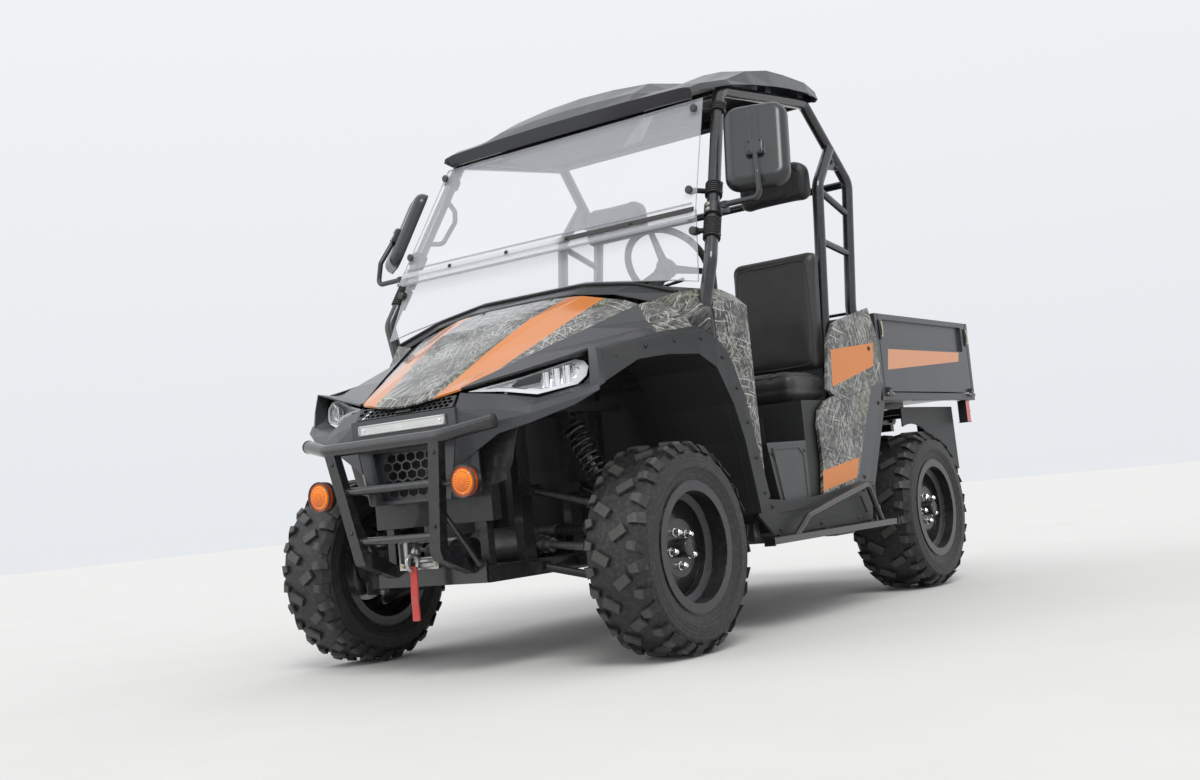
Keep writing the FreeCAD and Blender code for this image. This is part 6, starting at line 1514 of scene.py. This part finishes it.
def cab_fittings(kit):
    """Gauge pod, vents, switches, lever, pedals, brake handle, floor ribs, stalk and grips."""
    black = kit.shape("chassis", CAB)
    smooth_black = kit.shape("chassis", SMOOTH)
    # instrument pod ahead of the wheel
    way = Vector((0, 0.88, 0.47)).normalized()
    at = Vector((0.330, -0.640, 1.166))
    lathe(
        black, at - way * 0.015, way,
        [(0, 0.030), (0.01, 0.052), (0.045, 0.060), (0.060, 0.062), (0.062, 0.058), (0.052, 0.055)], 32,
    )
    lathe(
        kit.shape("chassis", GAUGE), at + way * 0.034, way, [(0, 0.0545), (0.001, 0.054), (0.0012, 0)], 32,
    )
    for x in (-0.46, -0.16, 0.07, 0.56):
        lathe(
            black, (x, -0.5605, 1.09), (0, 1, 0.35),
            [(0, 0.036), (0.004, 0.040), (0.008, 0.038), (0.009, 0.032), (0.004, 0.030)], 28,
        )
        for k in range(-2, 3):
            block(
                smooth_black, (x - 0.028, -0.563, 1.0895 + 0.011 * k),
                (x + 0.028, -0.5545, 1.0925 + 0.011 * k), 0.001,
            )
    for n in range(5):
        x = 0.155 + 0.026 * n
        block(smooth_black, (x - 0.010, -0.5585, 1.050), (x + 0.010, -0.5530, 1.078), 0.002)
    # storage lid and passenger's grab bar
    plate(
        black,
        [
            (-0.56, -0.5615, 1.052), (-0.24, -0.5615, 1.052), (-0.24, -0.5595, 1.068),
            (-0.56, -0.5595, 1.068),
        ],
        (0, 1, 0), 0.003, 0.001,
    )
    tube(kit.shape("chassis", RUBBER), eased([
        (-0.50, -0.60, 1.135), (-0.50, -0.585, 1.185), (-0.26, -0.585, 1.185), (-0.26, -0.60, 1.135),
    ], 0.02), 0.011, 12)
    # selector lever and parking brake
    tube(
        smooth_black, eased([(0.115, -0.585, 1.10), (0.115, -0.545, 1.165), (0.118, -0.520, 1.225)], 0.03),
        0.006, 10,
    )
    lathe(
        smooth_black, (0.118, -0.523, 1.218), (0, 0.35, 1),
        [(0, 0.009), (0.006, 0.017), (0.022, 0.021), (0.036, 0.017), (0.042, 0.006)], 20,
    )
    lathe(
        kit.shape("chassis", RUBBER), (0.115, -0.590, 1.128), (0, 0.5, 1),
        [(0, 0.032), (0.008, 0.030), (0.012, 0.022), (0.018, 0.022), (0.022, 0.014), (0.03, 0.010)], 20,
    )
    tube(kit.shape("chassis", TUBE), [(0.655, -0.590, 1.130), (0.655, -0.590, 1.30)], 0.009, 14)
    lathe(
        smooth_black, (0.655, -0.590, 1.288), (0, 0, 1),
        [(0, 0.013), (0.006, 0.0165), (0.060, 0.0165), (0.074, 0.013), (0.079, 0.004)], 22,
    )
    lathe(
        kit.shape("chassis", RUBBER), (0.655, -0.590, 1.134), (0, 0, 1),
        [(0, 0.024), (0.006, 0.022), (0.010, 0.014), (0.02, 0.011)], 18,
    )
    # pedals
    for x, width, z in ((0.245, 0.062, 0.545), (0.385, 0.042, 0.520)):
        tube(
            kit.shape("chassis", DARK), eased([(x, -0.592, 0.70), (x, -0.535, 0.66), (x, -0.515, z)], 0.03),
            0.007, 10,
        )
        turn = Matrix.Rotation(math.radians(-28), 3, "X")
        grip = kit.shape("chassis", RUBBER)
        x0, x1 = x - width / 2, x + width / 2
        block(grip, (x0, -0.520, z - 0.034), (x1, -0.508, z + 0.034), 0.003, turn)
        for k in range(-2, 3):
            y, up = -0.5085 + 0.005 * k, z - 0.003 + 0.011 * k
            block(grip, (x0 + 0.004, y, up), (x1 - 0.004, y + 0.004, up + 0.004), 0.001)
    # ribs moulded in the floor
    for n in range(13):
        y = -0.50 + 0.028 * n
        for x0, x1 in ((-0.52, -0.10), (0.10, 0.52)):
            slab(black, (x0, x1), (y - 0.004, y + 0.004), 0.4015, (0, 0, 1), 0.003, 0.0012)
    for side in (1, -1):
        for x0, x1 in ((0.05, 0.34), (0.38, 0.53)):
            low, high = sorted((side * x0, side * x1))
            slab(black, (low, high), -0.1262, (0.46, 0.74), (0, -1, 0), 0.003, 0.0014)
    # steering wheel: boss cover, spoke covers, stitched grip and stalk
    axis = Vector((0, math.cos(WHEEL_LEAN), math.sin(WHEEL_LEAN)))
    centre = WHEEL_CENTRE
    pad_bm = kit.shape("steering_wheel", SMOOTH)
    lathe(
        pad_bm, centre - axis * 0.020, axis,
        [(0, 0.036), (0.004, 0.041), (0.012, 0.042), (0.018, 0.038), (0.020, 0.030), (0.019, 0.0)], 30,
    )
    u = Vector((1, 0, 0))
    v = axis.cross(u)
    for angle in (20, 160, 270):
        a = math.radians(angle)
        out = u * math.cos(a) + v * math.sin(a)
        flat = axis.cross(out)
        start, end = centre - axis * 0.012 + out * 0.036, centre - axis * 0.002 + out * 0.146
        corners = [start + flat * 0.017, start - flat * 0.017, end - flat * 0.012, end + flat * 0.012]
        plate(pad_bm, corners, axis, 0.004, 0.0014)
        for spot in (0.065, 0.115):
            at = centre - axis * 0.006 + out * spot
            lathe(
                kit.shape("steering_wheel", RUBBER), at, axis,
                [(0, 0.005), (0.003, 0.005), (0.0035, 0.0035)], 10,
            )
    thread = kit.shape("steering_wheel", THREAD)
    for n in range(96):
        a = 2 * math.pi * n / 96
        out = u * math.cos(a) + v * math.sin(a)
        at = centre + out * 0.1475
        tube(thread, [at + axis * 0.003 - out * 0.0006, at - axis * 0.003 - out * 0.0006], 0.0007, 4)
    tube(
        smooth_black, eased([(0.352, -0.485, 1.235), (0.43, -0.478, 1.245), (0.462, -0.472, 1.252)], 0.02),
        0.005, 10, ends=lambda t: 1.0 + 0.5 * t,
    )


def under_fittings(kit):
    """Step-bar studs, boots on the shafts and rack, exhaust band, and brackets under the floor."""
    studs = kit.shape("chassis", TUBE)
    for side in (1, -1):
        for n in range(44):
            y = -0.535 + 0.0215 * n
            for x in (0.751, 0.767):
                lathe(
                    studs, (side * x, y, 0.3175), (0, 0, 1),
                    [(0, 0.0036), (0.0014, 0.0032), (0.0022, 0.0020)], 8,
                )
        boot = kit.shape("chassis", RUBBER)
        y, z = -1.040 + 0.084, 0.408
        rings = []
        for n in range(9):
            rings += [(0.013 * n, 0.024 - 0.0011 * n), (0.013 * n + 0.0065, 0.0195 - 0.0011 * n)]
        lathe(boot, (side * 0.168, y, z), (side, 0, 0), rings, 20)
    clamp = kit.shape("chassis", STEEL)
    for x in (-0.16, -0.06, 0.06, 0.16):
        lathe(
            clamp, (x - 0.006, 1.300, 0.600), (1, 0, 0),
            [(0, 0.0622), (0.001, 0.0635), (0.011, 0.0635), (0.012, 0.0622)], 36,
        )
    pipe = kit.shape("chassis", CAST)
    tube(
        pipe,
        eased(
            [(0.170, 1.300, 0.600), (0.225, 1.300, 0.600), (0.245, 1.345, 0.590), (0.245, 1.46, 0.575)],
            0.03,
        ),
        0.021, 18,
    )
    for x in (-0.10, -0.05, 0.0, 0.05, 0.10):
        block(kit.shape("chassis", CAST), (x - 0.006, 0.262, 0.699), (x + 0.006, 0.500, 0.709), 0.002)
    for x, r in ((-0.05, 0.055), (0.045, 0.04)):
        lathe(
            kit.shape("chassis", DARK), (x, 0.2395, 0.47 if x < 0 else 0.53), (0, -1, 0),
            [(0, r * 0.9), (0.003, r), (0.008, r * 0.9), (0.013, r), (0.016, r * 0.9), (0.017, 0.0)], 30,
        )


def mirrors(kit):
    """Screws on each mirror's boss and a seam round its head."""
    for side, centre, toe, lean in (
        (1, (0.824, -0.500, 1.642), 21, 21), (-1, (-0.823, -0.481, 1.655), -37, 27),
    ):
        body = "mirror_left" if side > 0 else "mirror_right"
        turn = Matrix.Rotation(math.radians(toe), 4, "Z") @ Matrix.Rotation(math.radians(-lean), 4, "X")
        place = Matrix.Translation(Vector(centre)) @ turn
        front = (turn @ Vector((0, -1, 0, 0))).to_3d()
        for x, z in ((-0.020, -0.050), (0.020, -0.050), (-0.020, -0.012), (0.020, -0.012)):
            bolt(kit, body, place @ Vector((x, -0.0642, z)), front, 0.0042, "dome", washer=False)
        seam = []
        w, h, r = 0.1105, 0.1665, 0.055
        for cx, cz, a0 in (
            (w - r, h - r, 0), (-w + r, h - r, 90), (-w + r, -h + r, 180), (w - r, -h + r, 270),
        ):
            for k in range(9):
                a = math.radians(a0 + 90 * k / 8)
                seam.append(place @ Vector((cx + r * math.cos(a), -0.004, cz + r * math.sin(a))))
        tube(kit.shape(body, RUBBER), seam, 0.0016, 6, closed=True)


dress_nodes()
kit = Kit()
seats(kit)
strap()
for side in (1, -1):
    shock(kit, (side * 0.446, -1.040, 0.5224), (side * 0.322, -1.040, 0.776), STOPPER)
    shock(kit, (side * 0.398, 0.960, 0.5224), (side * 0.300, 0.960, 0.694), STOPPER)
wheels(kit)
body_bolts(kit)
pillar_fittings(kit)
pane_edges(kit)
nose(kit)
bed_fittings(kit)
cab_fittings(kit)
under_fittings(kit)
mirrors(kit)
kit.finish()
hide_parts("shocks")


# Camera, light and ground

def camera():
    """The photograph's own camera, solved from the vehicle's symmetry."""
    data = bpy.data.cameras.new("photo camera")
    cam = bpy.data.objects.new("photo camera", data)
    scene.collection.objects.link(cam)
    yaw, pitch, roll = (math.radians(a) for a in (35.478, 4.390, -5.533))
    forward = Vector((-math.sin(yaw) * math.cos(pitch), math.cos(yaw) * math.cos(pitch), math.sin(pitch)))
    right = Vector((math.cos(yaw), math.sin(yaw), 0))
    up = right.cross(forward)
    x = math.cos(roll) * right + math.sin(roll) * up
    y = -math.sin(roll) * right + math.cos(roll) * up
    matrix = Matrix((x, y, -forward)).transposed().to_4x4()
    matrix.translation = Vector((3.0454, -4.6755, 0.5085))
    cam.matrix_world = matrix
    focal_pixels, width_pixels = 1391.8, 1200
    data.sensor_width = 36.0
    data.lens = focal_pixels / width_pixels * data.sensor_width
    data.clip_end = 200
    scene.camera = cam


def lights():
    """An overcast sky, brighter overhead, with a very soft sun."""
    world = bpy.data.worlds.new("sky")
    scene.world = world
    world.use_nodes = True
    tree = world.node_tree
    background = tree.nodes["Background"]
    place = tree.nodes.new("ShaderNodeTexCoord")
    split = tree.nodes.new("ShaderNodeSeparateXYZ")
    ramp = tree.nodes.new("ShaderNodeValToRGB")
    tree.links.new(place.outputs["Generated"], split.inputs[0])
    tree.links.new(split.outputs[2], ramp.inputs[0])
    ramp.color_ramp.elements[0].position = 0.0
    ramp.color_ramp.elements[0].color = (0.80, 0.82, 0.85, 1)
    ramp.color_ramp.elements[1].position = 0.6
    ramp.color_ramp.elements[1].color = (0.93, 0.95, 0.98, 1)
    tree.links.new(ramp.outputs[0], background.inputs[0])
    background.inputs[1].default_value = 1.0
    for name, energy, angle, turn in (("sun", 1.5, 25, (38, 12, 30)), ("fill", 0.5, 60, (62, 0, -40))):
        data = bpy.data.lights.new(name, "SUN")
        data.energy = energy
        data.angle = math.radians(angle)
        lamp = bpy.data.objects.new(name, data)
        lamp.rotation_euler = tuple(math.radians(a) for a in turn)
        scene.collection.objects.link(lamp)


def ground():
    bpy.ops.mesh.primitive_plane_add(size=60)
    floor = bpy.context.object
    floor.name = "ground"
    s = Shader("ground")
    shade = s.mix(s.noise(1.6, 4.0), (0.60, 0.59, 0.57), (0.66, 0.65, 0.63))
    s.set(Base_Color=shade, Roughness=0.92)
    floor.data.materials.append(s.bump(s.noise(120.0, 3.0), 0.08, 0.002).material)


camera()
lights()
ground()
scene.view_settings.view_transform = "Standard"
